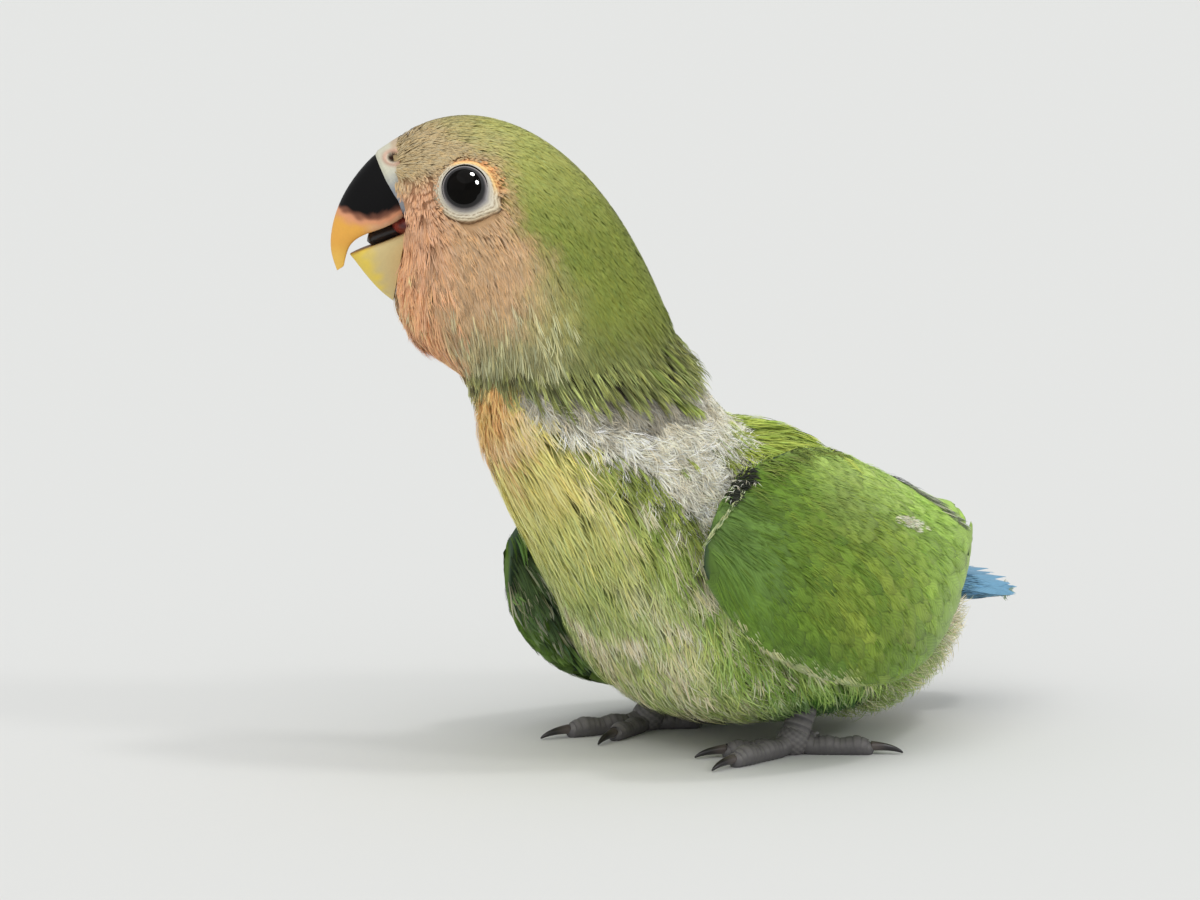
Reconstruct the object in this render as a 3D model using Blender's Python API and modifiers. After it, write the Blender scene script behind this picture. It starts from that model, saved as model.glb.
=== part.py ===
"""A young peach-faced lovebird, standing low on both feet with its neck stretched and its bill ajar.

The bird faces -Y and its left side is +X. The origin is on the floor, under the middle of the bird.
Everything is drawn in millimetres and multiplied by MM. The flesh is one lofted body, parted with thin
cuts into head, neck and trunk, and its surface is the outside of the feathers.
"""

import math

import bmesh
import bpy
from mathutils import Matrix, Vector

MM = 0.001
# The space left between neighbours, and between the trunk and what lies bedded in it.
GAP = 0.3
BED_GAP = 0.35
# Brings the middle of the finished bird over the origin.
STAND = Vector((0.0, 1.9, 0.0))

# The bird is drawn flat, as in a side view: "ahead" runs forward from the upright axis through the
# top of the neck, and "high" is the height above the floor. Each section is then turned about that axis.
NECK_AXIS = Vector((0.0, -31.3, 0.0))
HEAD_TURN = 38.0
EYES_AHEAD = 11.1
EYES_HIGH = 81.5

# The flesh, tail to face: turn of the section, top point, bottom point, half width, and how far the
# section sags, which makes it widest low down and flattens its underside.
SECTIONS = {
    "tail_root": (0, (-69.5, 25.5), (-68.5, 13.0), 6.5, 0.0),
    "rump": (0, (-63.5, 30.0), (-62.5, 7.4), 12.0, 0.0),
    "hips": (0, (-54.5, 36.4), (-53.5, 4.8), 16.4, 0.15),
    "loins": (0, (-46.5, 42.0), (-41.0, 4.2), 19.0, 0.20),
    "mid_back": (0, (-39.5, 45.6), (-27.0, 4.8), 20.0, 0.20),
    "shoulders": (0, (-33.4, 45.8), (-16.2, 8.4), 19.2, 0.20),
    "breast": (0, (-28.6, 47.2), (-10.4, 18.4), 17.0, 0.16),
    "crop": (2, (-24.2, 51.4), (-1.5, 30.0), 15.6, 0.10),
    "neck_base": (8, (-20.0, 56.4), (5.2, 39.0), 13.8, 0.05),
    "neck_top": (22, (-17.1, 63.0), (8.4, 45.0), 12.6, 0.05),
    "nape": (32, (-14.0, 69.7), (8.9, 48.6), 12.1, 0.10),
    "back_head": (38, (-10.0, 77.1), (9.0, 51.1), 12.0, 0.12),
    "rear_crown": (38, (-4.4, 84.2), (9.6, 53.5), 11.9, 0.14),
    "crown": (38, (2.2, 89.1), (11.4, 55.9), 11.6, 0.14),
    "brow": (38, (9.2, 91.4), (14.8, 58.2), 10.8, 0.14),
    "forehead": (38, (15.4, 90.8), (18.3, 60.8), 9.4, 0.12),
    "lores": (38, (20.2, 88.5), (20.4, 63.8), 7.7, 0.08),
    "face": (38, (23.0, 85.6), (22.0, 67.5), 5.0, 0.05),
}
RING_POINTS = 16
HEAD_ENDS_AT = "back_head"
NECK_ENDS_AT = "crop"

# The head's own frame: x forward, y to its left, z up, with its origin midway between the eyes.
EYE_RADIUS = 3.5
EYE_PLACE = (0.0, 6.8, 0.0)
# The feathered face is set back round the bill, as this outline of x and z shows.
FACE_TOP = (10.5, 5.0)
FACE_GAPE = (8.0, -4.4)
FACE_CHIN = (9.8, -16.0)
# The upper bill: top point, bottom point, half width. The first two sections are the soft cere.
UPPER_BILL = (
    ((10.8, 5.1), (8.3, -3.9), 5.0),
    ((12.8, 3.8), (8.8, -4.4), 4.9),
    ((15.6, 0.6), (10.4, -5.4), 4.5),
    ((17.6, -2.9), (12.5, -6.2), 3.7),
    ((18.6, -6.5), (14.5, -6.9), 2.7),
    ((18.7, -9.3), (16.3, -8.3), 1.5),
    ((17.8, -11.8), (16.9, -11.2), 0.6),
)
CERE_LINE = ((12.6, 3.5), (8.7, -4.2))
LOWER_BILL = (
    ((8.2, -6.4), (10.1, -15.8), 4.2),
    ((10.7, -7.5), (11.8, -14.6), 4.0),
    ((13.2, -8.4), (13.4, -12.9), 3.3),
    ((15.0, -9.0), (14.7, -11.3), 2.0),
    ((16.0, -9.5), (15.6, -10.1), 0.8),
)
TONGUE_ROOT = Vector((8.0, 0.0, -5.9))
TONGUE_TIP = Vector((13.7, 0.0, -7.8))
TONGUE_RADIUS = 1.2

# The folded wing, wrist to tip: y, top edge (x, z), bottom edge (x, z), outward bulge, thickness.
WING_SECTIONS = (
    (-22.0, (23.4, 34.5), (24.8, 27.5), 0.6, 2.4),
    (-19.5, (21.6, 38.5), (26.4, 22.5), 2.2, 3.2),
    (-13.0, (18.6, 42.4), (27.9, 16.4), 4.0, 3.6),
    (-3.0, (14.6, 44.4), (28.7, 12.4), 5.6, 3.2),
    (7.0, (11.2, 44.6), (27.8, 10.6), 6.8, 3.0),
    (17.0, (8.4, 41.4), (24.2, 12.4), 6.8, 2.6),
    (26.0, (6.4, 37.2), (19.0, 16.0), 6.0, 2.2),
    (34.0, (4.8, 33.6), (13.0, 21.0), 4.4, 1.8),
    (40.5, (3.4, 31.2), (6.6, 26.2), 1.8, 1.5),
)
ARC_POINTS = 6
# The right wing hangs lower and a little open: it is stretched in height, turned about a line across
# the back, then let down.
OPENING = 1.21
DROOP = 4.0
DROOP_AXIS = Vector((0.0, 34.0, 36.0))
DROOP_SHIFT = Vector((0.0, 0.6, -1.4))

# The tail: y, z, half width, half thickness.
TAIL_SECTIONS = (
    (31.0, 19.6, 4.6, 2.6),
    (36.0, 19.4, 5.6, 2.6),
    (41.0, 18.9, 6.6, 2.2),
    (45.5, 18.3, 6.8, 1.5),
    (49.0, 17.6, 5.4, 1.0),
    (51.4, 17.1, 2.6, 0.6),
)

# The feet: place of each, then for each toe its direction from straight ahead, length and radius.
FEET = {"left": Vector((12.5, 2.5, 0.0)), "right": Vector((-14.0, -2.5, 0.0))}
TOES = {
    "inner_front": (-22.0, 10.5, 1.40),
    "outer_front": (10.0, 13.5, 1.55),
    "outer_rear": (140.0, 11.5, 1.50),
    "inner_rear": (-150.0, 7.5, 1.35),
}
# Along a toe: share of its length, and its girth there as a share of its radius.
TOE_SHAPE = ((0.0, 1.0), (0.25, 0.88), (0.42, 1.0), (0.58, 0.86), (0.78, 1.0), (0.92, 0.8), (1.0, 0.5))
# How deep each pad is pressed flat against the floor.
SOLE_DEPTH = 0.3
BALL_RADIUS = 2.35
BALL_HIGH = 1.95
# From the ball of the foot up to the hock, which is hidden in the trunk.
SHANK_TOP = Vector((-1.5, 7.0, 13.0))
SHANK_RADIUS = 2.0
CLAW_LENGTH = 3.7
CLAW_RADIUS = 0.72
CLAW_POINT_RADIUS = 0.18
# The claw's bend in radians, how high it starts and how far its point drops.
CLAW_BEND = 1.1
CLAW_HIGH = 1.2
CLAW_DROP = 0.95

COLOURS = {
    "plumage_head": (0.28, 0.33, 0.08),
    "plumage_neck": (0.36, 0.34, 0.26),
    "plumage_trunk": (0.36, 0.40, 0.12),
    "plumage_wing": (0.10, 0.22, 0.04),
    "plumage_tail": (0.08, 0.22, 0.40),
    "bill_horn": (0.35, 0.22, 0.10),
    "cere_skin": (0.50, 0.50, 0.40),
    "tongue_skin": (0.04, 0.02, 0.02),
    "eye_dark": (0.01, 0.01, 0.01),
    "foot_skin": (0.13, 0.13, 0.13),
    "claw_horn": (0.04, 0.04, 0.04),
}
ROUGHNESS = {"eye_dark": 0.05, "bill_horn": 0.35, "claw_horn": 0.35, "tongue_skin": 0.3}


def clear_scene():
    """Removes whatever the file opened with."""
    for old in list(bpy.data.objects):
        bpy.data.objects.remove(old)


def make_collection(name, hidden=False):
    """A new collection in the scene. A hidden one holds cutters."""
    made = bpy.data.collections.new(name)
    made.hide_render = hidden
    bpy.context.scene.collection.children.link(made)
    return made


def material(name):
    """The Principled material of that name, made once."""
    found = bpy.data.materials.get(name)
    if found:
        return found
    made = bpy.data.materials.new(name)
    made.use_nodes = True
    shader = made.node_tree.nodes["Principled BSDF"]
    shader.inputs["Base Color"].default_value = (*COLOURS[name], 1.0)
    shader.inputs["Roughness"].default_value = ROUGHNESS.get(name, 0.8)
    return made


def add_mesh(name, mesh, look, collection):
    """A smooth-shaded object for a mesh in metres."""
    made = bpy.data.objects.new(name, mesh)
    mesh.shade_smooth()
    if look:
        mesh.materials.append(material(look))
    collection.objects.link(made)
    return made


def add_cutter(name, mesh, collection):
    """A helper object that is not part of the bird."""
    made = add_mesh(name, mesh, None, collection)
    made.hide_render = True
    made.display_type = "WIRE"
    return made


def mesh_of(obj):
    """A new mesh of the object as the viewport shows it, with its modifiers applied."""
    graph = bpy.context.evaluated_depsgraph_get()
    return bpy.data.meshes.new_from_object(obj.evaluated_get(graph))


def remove(obj):
    """Takes a working object out of the file."""
    bpy.data.objects.remove(obj)


def smooth(obj, levels=1):
    """Subdivision Surface, the same in a render as in the viewport."""
    made = obj.modifiers.new("smooth", "SUBSURF")
    made.levels = made.render_levels = levels


def cut(obj, cutter, operation="DIFFERENCE"):
    """A Boolean with one other mesh object."""
    made = obj.modifiers.new(operation.lower(), "BOOLEAN")
    made.operation = operation
    made.solver = "EXACT"
    made.object = cutter


def loft_mesh(name, rings):
    """A closed mesh through rings of points in millimetres, each ring the same length, with flat ends."""
    bm = bmesh.new()
    rows = [[bm.verts.new(p * MM) for p in ring] for ring in rings]
    count = len(rows[0])
    for near, far in zip(rows, rows[1:]):
        for i in range(count):
            j = (i + 1) % count
            bm.faces.new((near[i], near[j], far[j], far[i]))
    bm.faces.new(rows[0][::-1])
    bm.faces.new(rows[-1])
    bmesh.ops.recalc_face_normals(bm, faces=bm.faces)
    made = bpy.data.meshes.new(name)
    bm.to_mesh(made)
    bm.free()
    return made


def subdivision_gain(points):
    """How much larger a ring's cage is drawn, so that the smoothed ring has its size."""
    return 3.0 / (2.0 + math.cos(2.0 * math.pi / points))


def forward(turn):
    """The level direction that a section turned this many degrees to the right faces."""
    angle = math.radians(turn)
    return Vector((-math.sin(angle), -math.cos(angle), 0.0))


def leftward(turn):
    """The level direction to the left of a section turned this many degrees to the right."""
    angle = math.radians(turn)
    return Vector((math.cos(angle), -math.sin(angle), 0.0))


def in_profile(turn, place):
    """The point that the flat side view has at place, once its section is turned."""
    ahead, high = place
    return NECK_AXIS + forward(turn) * ahead + Vector((0.0, 0.0, high))


def flesh_ring(turn, top, bottom, half_width, sag):
    """An egg-shaped ring round one section of the flesh, starting at its top."""
    upper, lower = in_profile(turn, top), in_profile(turn, bottom)
    centre, half = (upper + lower) / 2, (upper - lower) / 2
    gain = subdivision_gain(RING_POINTS)
    side = leftward(turn) * half_width
    ring = []
    for i in range(RING_POINTS):
        angle = 2.0 * math.pi * i / RING_POINTS
        width = math.sin(angle) * (1.0 - sag * math.cos(angle))
        rise = math.cos(angle) - sag * math.sin(angle) ** 2
        ring.append(centre + half * (gain * rise) + side * (gain * width))
    return ring


def section_plane(name):
    """A point on a section of the flesh and the direction towards the face, across it."""
    turn, top, bottom, _, _ = SECTIONS[name]
    upper, lower = in_profile(turn, top), in_profile(turn, bottom)
    towards_face = (upper - lower).cross(leftward(turn)).normalized()
    if towards_face.dot(forward(turn) + Vector((0.0, 0.0, 1.0))) < 0:
        towards_face.negate()
    return (upper + lower) / 2, towards_face


def slice_mesh(name, whole, behind=None, ahead=None):
    """The stretch of a closed mesh between two sections, closed again with flat faces."""
    bm = bmesh.new()
    bm.from_mesh(whole)
    for plane, side in ((behind, 1.0), (ahead, -1.0)):
        if plane is None:
            continue
        point, normal = section_plane(plane)
        cut_at = (point + normal * (side * GAP / 2)) * MM
        everything = list(bm.verts) + list(bm.edges) + list(bm.faces)
        bmesh.ops.bisect_plane(
            bm, geom=everything, plane_co=cut_at, plane_no=normal * side, clear_inner=True
        )
        rim = [e for e in bm.edges if e.is_boundary]
        bmesh.ops.contextual_create(bm, geom=rim)
    bmesh.ops.recalc_face_normals(bm, faces=bm.faces)
    made = bpy.data.meshes.new(name)
    bm.to_mesh(made)
    bm.free()
    return made


def head_frame():
    """The empty that carries what is drawn in the head's own frame."""
    made = bpy.data.objects.new("head_frame", None)
    bpy.context.scene.collection.objects.link(made)
    made.location = in_profile(HEAD_TURN, (EYES_AHEAD, EYES_HIGH)) * MM
    made.rotation_euler = (0.0, 0.0, math.radians(-90.0 - HEAD_TURN))
    bpy.context.view_layer.update()
    return made


def build_flesh(parts, cutters):
    """Head, neck and trunk, from one smooth loft parted with thin cuts."""
    rings = [flesh_ring(*section) for section in SECTIONS.values()]
    whole = add_mesh("flesh", loft_mesh("flesh", rings), None, cutters)
    smooth(whole)
    surface = mesh_of(whole)
    remove(whole)
    head = add_mesh("head", slice_mesh("head", surface, behind=HEAD_ENDS_AT), "plumage_head", parts)
    neck_mesh = slice_mesh("neck", surface, behind=NECK_ENDS_AT, ahead=HEAD_ENDS_AT)
    add_mesh("neck", neck_mesh, "plumage_neck", parts)
    trunk_mesh = slice_mesh("trunk", surface, ahead=NECK_ENDS_AT)
    trunk = add_mesh("trunk", trunk_mesh, "plumage_trunk", parts)
    return head, trunk


def face_cutter(frame, cutters):
    """The notch in front of the face that the bill fills, as an extruded outline."""
    far_ahead, high, low, half_width = 40.0, 12.0, -30.0, 16.0
    outline = [
        (FACE_TOP[0], high),
        FACE_TOP,
        FACE_GAPE,
        FACE_CHIN,
        (FACE_CHIN[0], low),
        (far_ahead, low),
        (far_ahead, high),
    ]
    rings = [
        [Vector((x, side * half_width, z)) for x, z in outline] for side in (-1.0, 1.0)
    ]
    made = add_cutter("face_cutter", loft_mesh("face_cutter", rings), cutters)
    made.parent = frame
    return made


def build_eyes(head, frame, parts, cutters):
    """Both eyeballs, each in a socket cut a little wider than itself."""
    for name, side in (("left", 1.0), ("right", -1.0)):
        place = Vector((EYE_PLACE[0], EYE_PLACE[1] * side, EYE_PLACE[2])) * MM
        for label, radius in ((f"eye_{name}", EYE_RADIUS), (f"socket_{name}", EYE_RADIUS + GAP)):
            bm = bmesh.new()
            bmesh.ops.create_uvsphere(bm, u_segments=18, v_segments=10, radius=radius * MM)
            mesh = bpy.data.meshes.new(label)
            bm.to_mesh(mesh)
            bm.free()
            if label.startswith("eye"):
                ball = add_mesh(label, mesh, "eye_dark", parts)
            else:
                ball = add_cutter(label, mesh, cutters)
                cut(head, ball)
            ball.parent = frame
            ball.location = place


def bill_ring(top, bottom, half_width, arch_up):
    """A D-shaped ring of the bill in the head's frame: an arch and a flat side along the cutting edges."""
    up, down = Vector((top[0], 0.0, top[1])), Vector((bottom[0], 0.0, bottom[1]))
    crest, edge = (up, down) if arch_up else (down, up)
    arch_steps, flat_steps = 8, 4
    gain = subdivision_gain(arch_steps + flat_steps)
    ring = []
    for i in range(arch_steps + 1):
        angle = math.pi * (i / arch_steps - 0.5)
        across = Vector((0.0, half_width * gain * math.sin(angle), 0.0))
        ring.append(edge + (crest - edge) * (gain * math.cos(angle)) + across)
    for i in range(1, flat_steps):
        across = Vector((0.0, half_width * gain * (1.0 - 2.0 * i / flat_steps), 0.0))
        ring.append(edge + across)
    return ring


def build_bill(head, frame, parts, cutters):
    """Cere, upper bill, lower bill and tongue."""
    rings = [bill_ring(*section, arch_up=True) for section in UPPER_BILL]
    whole = add_mesh("upper", loft_mesh("upper", rings), None, cutters)
    smooth(whole)
    surface = mesh_of(whole)
    remove(whole)
    high, low = (Vector((x, 0.0, z)) for x, z in CERE_LINE)
    across = (high - low).normalized()
    normal = Vector((across.z, 0.0, -across.x))
    for name, look, side in (("cere", "cere_skin", -1.0), ("bill_upper", "bill_horn", 1.0)):
        bm = bmesh.new()
        bm.from_mesh(surface)
        everything = list(bm.verts) + list(bm.edges) + list(bm.faces)
        cut_at = (high + normal * (side * GAP / 2)) * MM
        bmesh.ops.bisect_plane(
            bm, geom=everything, plane_co=cut_at, plane_no=normal * side, clear_inner=True
        )
        bmesh.ops.contextual_create(bm, geom=[e for e in bm.edges if e.is_boundary])
        bmesh.ops.recalc_face_normals(bm, faces=bm.faces)
        mesh = bpy.data.meshes.new(name)
        bm.to_mesh(mesh)
        bm.free()
        add_mesh(name, mesh, look, parts).parent = frame

    rings = [bill_ring(*section, arch_up=False) for section in LOWER_BILL]
    lower = add_mesh("bill_lower", loft_mesh("bill_lower", rings), "bill_horn", parts)
    smooth(lower)
    lower.parent = frame
    tongue = add_mesh("tongue", tongue_mesh("tongue", 0.0), "tongue_skin", parts)
    tongue.parent = frame
    trough = add_cutter("tongue_trough", tongue_mesh("tongue_trough", GAP), cutters)
    trough.parent = frame
    cut(lower, trough)
    cut(head, trough)


def tongue_mesh(name, grow):
    """A blunt rod with a round end, lying in the mouth."""
    along = TONGUE_TIP - TONGUE_ROOT
    root = TONGUE_ROOT - along.normalized() * grow
    tip = TONGUE_TIP + along.normalized() * grow
    above = Vector((-along.z, 0.0, along.x)).normalized()
    steps, sides = 6, 12
    rings = []
    for share, width in ((0.0, 1.0), (0.35, 1.0), (0.7, 1.04), (0.88, 0.92), (0.97, 0.66), (1.0, 0.3)):
        radius = (TONGUE_RADIUS + grow) * width
        centre = root.lerp(tip, share)
        rings.append(
            [
                centre
                + above * (radius * 0.85 * math.cos(2 * math.pi * i / sides))
                + Vector((0.0, radius * 1.25 * math.sin(2 * math.pi * i / sides), 0.0))
                for i in range(sides)
            ]
        )
    return loft_mesh(name, rings[:steps])


def wing_ring(y, top, bottom, bulge, thickness):
    """A crescent across the wing: an outer arc from the top edge to the bottom edge, and back inside it."""
    outer, inner = [], []
    for i in range(ARC_POINTS):
        share = i / (ARC_POINTS - 1)
        swell = 4.0 * share * (1.0 - share)
        x = top[0] + (bottom[0] - top[0]) * share + bulge * swell
        z = top[1] + (bottom[1] - top[1]) * share
        slope_x = bottom[0] - top[0] + bulge * 4.0 * (1.0 - 2.0 * share)
        slope_z = bottom[1] - top[1]
        inward = Vector((slope_z, 0.0, -slope_x)).normalized()
        depth = thickness * (0.45 + 0.55 * math.sqrt(swell))
        outer.append(Vector((x, y, z)))
        inner.append(Vector((x, y, z)) + inward * depth)
    return outer + inner[::-1]


def grown(ring, by):
    """A ring that lies across y, moved outwards all round."""
    area = sum(p.x * q.z - q.x * p.z for p, q in zip(ring, ring[1:] + ring[:1]))
    turn = 1.0 if area > 0 else -1.0
    moved = []
    for before, point, after in zip(ring[-1:] + ring[:-1], ring, ring[1:] + ring[:1]):
        along = after - before
        outward = Vector((along.z, 0.0, -along.x)).normalized() * turn
        moved.append(point + outward * by)
    return moved


def lengthened(rings, by):
    """Rings across y with the first and last moved apart."""
    step = Vector((0.0, by, 0.0))
    return [[p - step for p in rings[0]], *rings[1:-1], [p + step for p in rings[-1]]]


def build_wings(trunk, parts, cutters):
    """The left wing, and the right one as its mirror image, hanging lower, each bedded in the trunk."""
    droop = (
        Matrix.Translation(DROOP_AXIS + DROOP_SHIFT)
        @ Matrix.Rotation(math.radians(DROOP), 4, "X")
        @ Matrix.Diagonal((1.0, 1.0, OPENING, 1.0))
        @ Matrix.Translation(-DROOP_AXIS)
    )
    rings = [wing_ring(*section) for section in WING_SECTIONS]
    beds = lengthened([grown(ring, BED_GAP) for ring in rings], BED_GAP)
    for name, right in (("wing_left", False), ("wing_right", True)):
        shapes = []
        for shape in (rings, beds):
            if right:
                shape = [[droop @ Vector((-p.x, p.y, p.z)) for p in ring] for ring in shape]
            shapes.append(shape)
        wing = add_mesh(name, loft_mesh(name, shapes[0]), "plumage_wing", parts)
        smooth(wing)
        bed = add_cutter(f"{name}_bed", loft_mesh(f"{name}_bed", shapes[1]), cutters)
        smooth(bed)
        cut(trunk, bed)


def tail_rings(grow):
    """Flat oval rings from the root of the tail to its tip."""
    sides = 12
    gain = subdivision_gain(sides)
    rings = []
    for y, z, half_width, half_thick in TAIL_SECTIONS:
        ring = []
        for i in range(sides):
            angle = 2 * math.pi * i / sides
            x = (half_width + grow) * gain * math.cos(angle)
            ring.append(Vector((x, y, z + (half_thick + grow) * gain * math.sin(angle))))
        rings.append(ring)
    return lengthened(rings, grow)


def build_tail(trunk, parts, cutters):
    """The short fan of growing tail feathers, let into the end of the trunk."""
    tail = add_mesh("tail", loft_mesh("tail", tail_rings(0.0)), "plumage_tail", parts)
    smooth(tail)
    bed = add_cutter("tail_bed", loft_mesh("tail_bed", tail_rings(BED_GAP)), cutters)
    smooth(bed)
    cut(trunk, bed)


def tube(name, points, radii, sides, cutters):
    """A closed tube mesh along points in millimetres, made as a bevelled curve."""
    curve = bpy.data.curves.new(name, "CURVE")
    curve.dimensions = "3D"
    curve.bevel_depth = 1.0 * MM
    curve.bevel_resolution = sides // 4 - 1
    curve.use_fill_caps = True
    line = curve.splines.new("POLY")
    line.points.add(len(points) - 1)
    for place, point, radius in zip(line.points, points, radii):
        place.co = (*(point * MM), 1.0)
        place.radius = radius
    made = bpy.data.objects.new(name, curve)
    cutters.objects.link(made)
    bpy.context.view_layer.update()
    mesh = mesh_of(made)
    remove(made)
    bm = bmesh.new()
    bm.from_mesh(mesh)
    bmesh.ops.remove_doubles(bm, verts=bm.verts, dist=0.00001)
    bmesh.ops.recalc_face_normals(bm, faces=bm.faces)
    bm.to_mesh(mesh)
    bm.free()
    return mesh


def toe_line(ball, side, angle, length, radius):
    """The way a toe points, and its centre line and girths, with each pad resting on the floor."""
    heading = math.radians(angle) * side
    way = Vector((math.sin(heading), -math.cos(heading), 0.0))
    line, girths = [], []
    for share, girth in TOE_SHAPE:
        high = Vector((0.0, 0.0, radius * girth - SOLE_DEPTH))
        line.append(ball + way * (length * share) + high)
        girths.append(radius * girth)
    line[0].z = BALL_HIGH
    line[-1].z = CLAW_HIGH
    return way, line, girths


def claw_mesh(name, toe_end, way, cutters):
    """A claw that leaves the toe level and curves down towards the floor."""
    steps = 5
    points, radii = [], []
    for i in range(steps + 1):
        share = i / steps
        ahead = GAP + CLAW_LENGTH * math.sin(share * CLAW_BEND) / math.sin(CLAW_BEND)
        points.append(toe_end + way * ahead - Vector((0.0, 0.0, CLAW_DROP * share * share)))
        radii.append(CLAW_RADIUS * (1.0 - share) + CLAW_POINT_RADIUS * share)
    return tube(name, points, radii, 8, cutters)


def ball_mesh(name, place):
    """The rounded middle of a foot, where its toes meet."""
    bm = bmesh.new()
    bmesh.ops.create_uvsphere(bm, u_segments=14, v_segments=10, radius=BALL_RADIUS * MM)
    bmesh.ops.translate(bm, verts=bm.verts, vec=(place + Vector((0.0, 0.0, BALL_HIGH))) * MM)
    made = bpy.data.meshes.new(name)
    bm.to_mesh(made)
    bm.free()
    return made


def build_feet(trunk, parts, cutters):
    """Shank, four toes and four claws on each side, cut to small flats where they stand."""
    half = 60.0
    floor_rings = [
        [Vector((x, y, z)) for x, y in ((-half, -half), (half, -half), (half, half), (-half, half))]
        for z in (-8.0, 0.0)
    ]
    floor = add_cutter("floor_cutter", loft_mesh("floor_cutter", floor_rings), cutters)
    for name, place in FEET.items():
        side = 1.0 if name == "left" else -1.0
        ankle = place + Vector((0.0, 0.0, BALL_HIGH))
        up = Vector((SHANK_TOP.x * side, SHANK_TOP.y, SHANK_TOP.z))
        shank = tube(f"leg_{name}", [ankle, ankle + up], [SHANK_RADIUS] * 2, 12, cutters)
        leg = add_mesh(f"leg_{name}", shank, "foot_skin", parts)
        hole_end = ankle + up + up.normalized() * GAP
        hole = tube(f"pit_{name}", [ankle, hole_end], [SHANK_RADIUS + GAP] * 2, 12, cutters)
        cut(trunk, add_cutter(f"leg_pit_{name}", hole, cutters))
        cut(leg, add_cutter(f"ball_{name}", ball_mesh(f"ball_{name}", place), cutters), "UNION")
        for toe, (angle, length, radius) in TOES.items():
            way, line, girths = toe_line(place, side, angle, length, radius)
            made = tube(f"{toe}_{name}", line, girths, 12, cutters)
            cut(leg, add_cutter(f"{toe}_{name}", made, cutters), "UNION")
            claw = claw_mesh(f"claw_{toe}_{name}", line[-1], way, cutters)
            add_mesh(f"claw_{toe}_{name}", claw, "claw_horn", parts)
        cut(leg, floor)


def stand_over_origin(frame, parts, cutters):
    """Carries everything on one empty that puts the middle of the bird over the origin."""
    stand = bpy.data.objects.new("stand", None)
    bpy.context.scene.collection.objects.link(stand)
    for each in [frame, *parts.objects, *cutters.objects]:
        if each.parent is None:
            each.parent = stand
    stand.location = STAND * MM


def main():
    clear_scene()
    parts = make_collection("peach_faced_lovebird")
    cutters = make_collection("cutters", hidden=True)
    frame = head_frame()
    head, trunk = build_flesh(parts, cutters)
    cut(head, face_cutter(frame, cutters))
    build_eyes(head, frame, parts, cutters)
    build_bill(head, frame, parts, cutters)
    build_wings(trunk, parts, cutters)
    build_tail(trunk, parts, cutters)
    build_feet(trunk, parts, cutters)
    stand_over_origin(frame, parts, cutters)


main()
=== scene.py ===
"""A peach-faced lovebird fledgling, standing, at life size.

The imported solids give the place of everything. Here the bird gets its skin, eyes, bill, feet and plumage.
Lengths are in millimetres until a mesh is made: x is the bird's left, y is towards its tail and z is up.
"""

import bpy
import numpy as np
from mathutils import Matrix, Vector


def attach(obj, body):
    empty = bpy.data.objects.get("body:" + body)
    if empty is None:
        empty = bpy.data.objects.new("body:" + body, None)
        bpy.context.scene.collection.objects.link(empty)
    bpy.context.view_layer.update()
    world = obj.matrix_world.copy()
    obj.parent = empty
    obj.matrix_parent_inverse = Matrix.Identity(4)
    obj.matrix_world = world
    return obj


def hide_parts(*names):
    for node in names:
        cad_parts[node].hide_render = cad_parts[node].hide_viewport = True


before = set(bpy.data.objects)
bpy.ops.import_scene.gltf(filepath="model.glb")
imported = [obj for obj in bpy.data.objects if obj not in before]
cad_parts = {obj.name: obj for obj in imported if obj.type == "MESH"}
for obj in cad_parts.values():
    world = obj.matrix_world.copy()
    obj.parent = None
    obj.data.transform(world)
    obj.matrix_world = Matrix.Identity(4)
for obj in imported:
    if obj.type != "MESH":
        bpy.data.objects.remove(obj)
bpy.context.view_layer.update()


# Camera, light and floor. A pale matt floor runs to the edge of the picture, under one broad lamp from above,
# a weaker one from the side and an even pale sky, as in a bright room.
MM = 0.001
STAND = np.array([0.0, 1.9, 0.0])
AZIMUTH, ELEVATION = np.radians(52.0), np.radians(8.0)
DISTANCE = 700.0
LENS, SENSOR = 147.0, 36.0
AIM_RIGHT, AIM_UP = -17.57, 41.71
right = np.array([np.cos(AZIMUTH), np.sin(AZIMUTH), 0.0])
back = np.array([np.sin(AZIMUTH) * np.cos(ELEVATION), -np.cos(AZIMUTH) * np.cos(ELEVATION), np.sin(ELEVATION)])
upward = np.cross(back, right)
aim = right * AIM_RIGHT + upward * AIM_UP + STAND


def placed(x_axis, y_axis, z_axis, place):
    """The matrix of an object at place in millimetres, with these three axes."""
    made = Matrix.Identity(4)
    for column, axis in enumerate((x_axis, y_axis, z_axis, place * MM)):
        made.col[column][:3] = axis
    return made


camera_data = bpy.data.cameras.new("camera")
camera_data.lens = LENS
camera_data.sensor_width = SENSOR
camera_data.clip_start = 0.01
camera = bpy.data.objects.new("camera", camera_data)
camera.matrix_world = placed(right, upward, back, aim + back * DISTANCE)
bpy.context.scene.collection.objects.link(camera)
bpy.context.scene.camera = camera
bpy.context.scene.view_settings.view_transform = "Standard"


def soft_sun(name, towards, power, spread):
    """Even light from one direction over the whole floor, as soft as the angle that its source fills."""
    data = bpy.data.lights.new(name, "SUN")
    data.energy = power
    data.angle = np.radians(spread)
    axis = np.array(towards) / np.linalg.norm(towards)
    side = np.cross((0.0, 0.0, 1.0), axis)
    side /= np.linalg.norm(side)
    lamp = bpy.data.objects.new(name, data)
    lamp.matrix_world = placed(side, np.cross(axis, side), axis, aim + axis * DISTANCE)
    bpy.context.scene.collection.objects.link(lamp)


soft_sun("top_light", back * 0.55 + right * 0.02 + (0.0, 0.0, 1.0), 1.16, 70.0)
soft_sun("side_light", back * 0.8 - right * 0.7 + (0.0, 0.0, 0.25), 0.46, 80.0)
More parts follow.
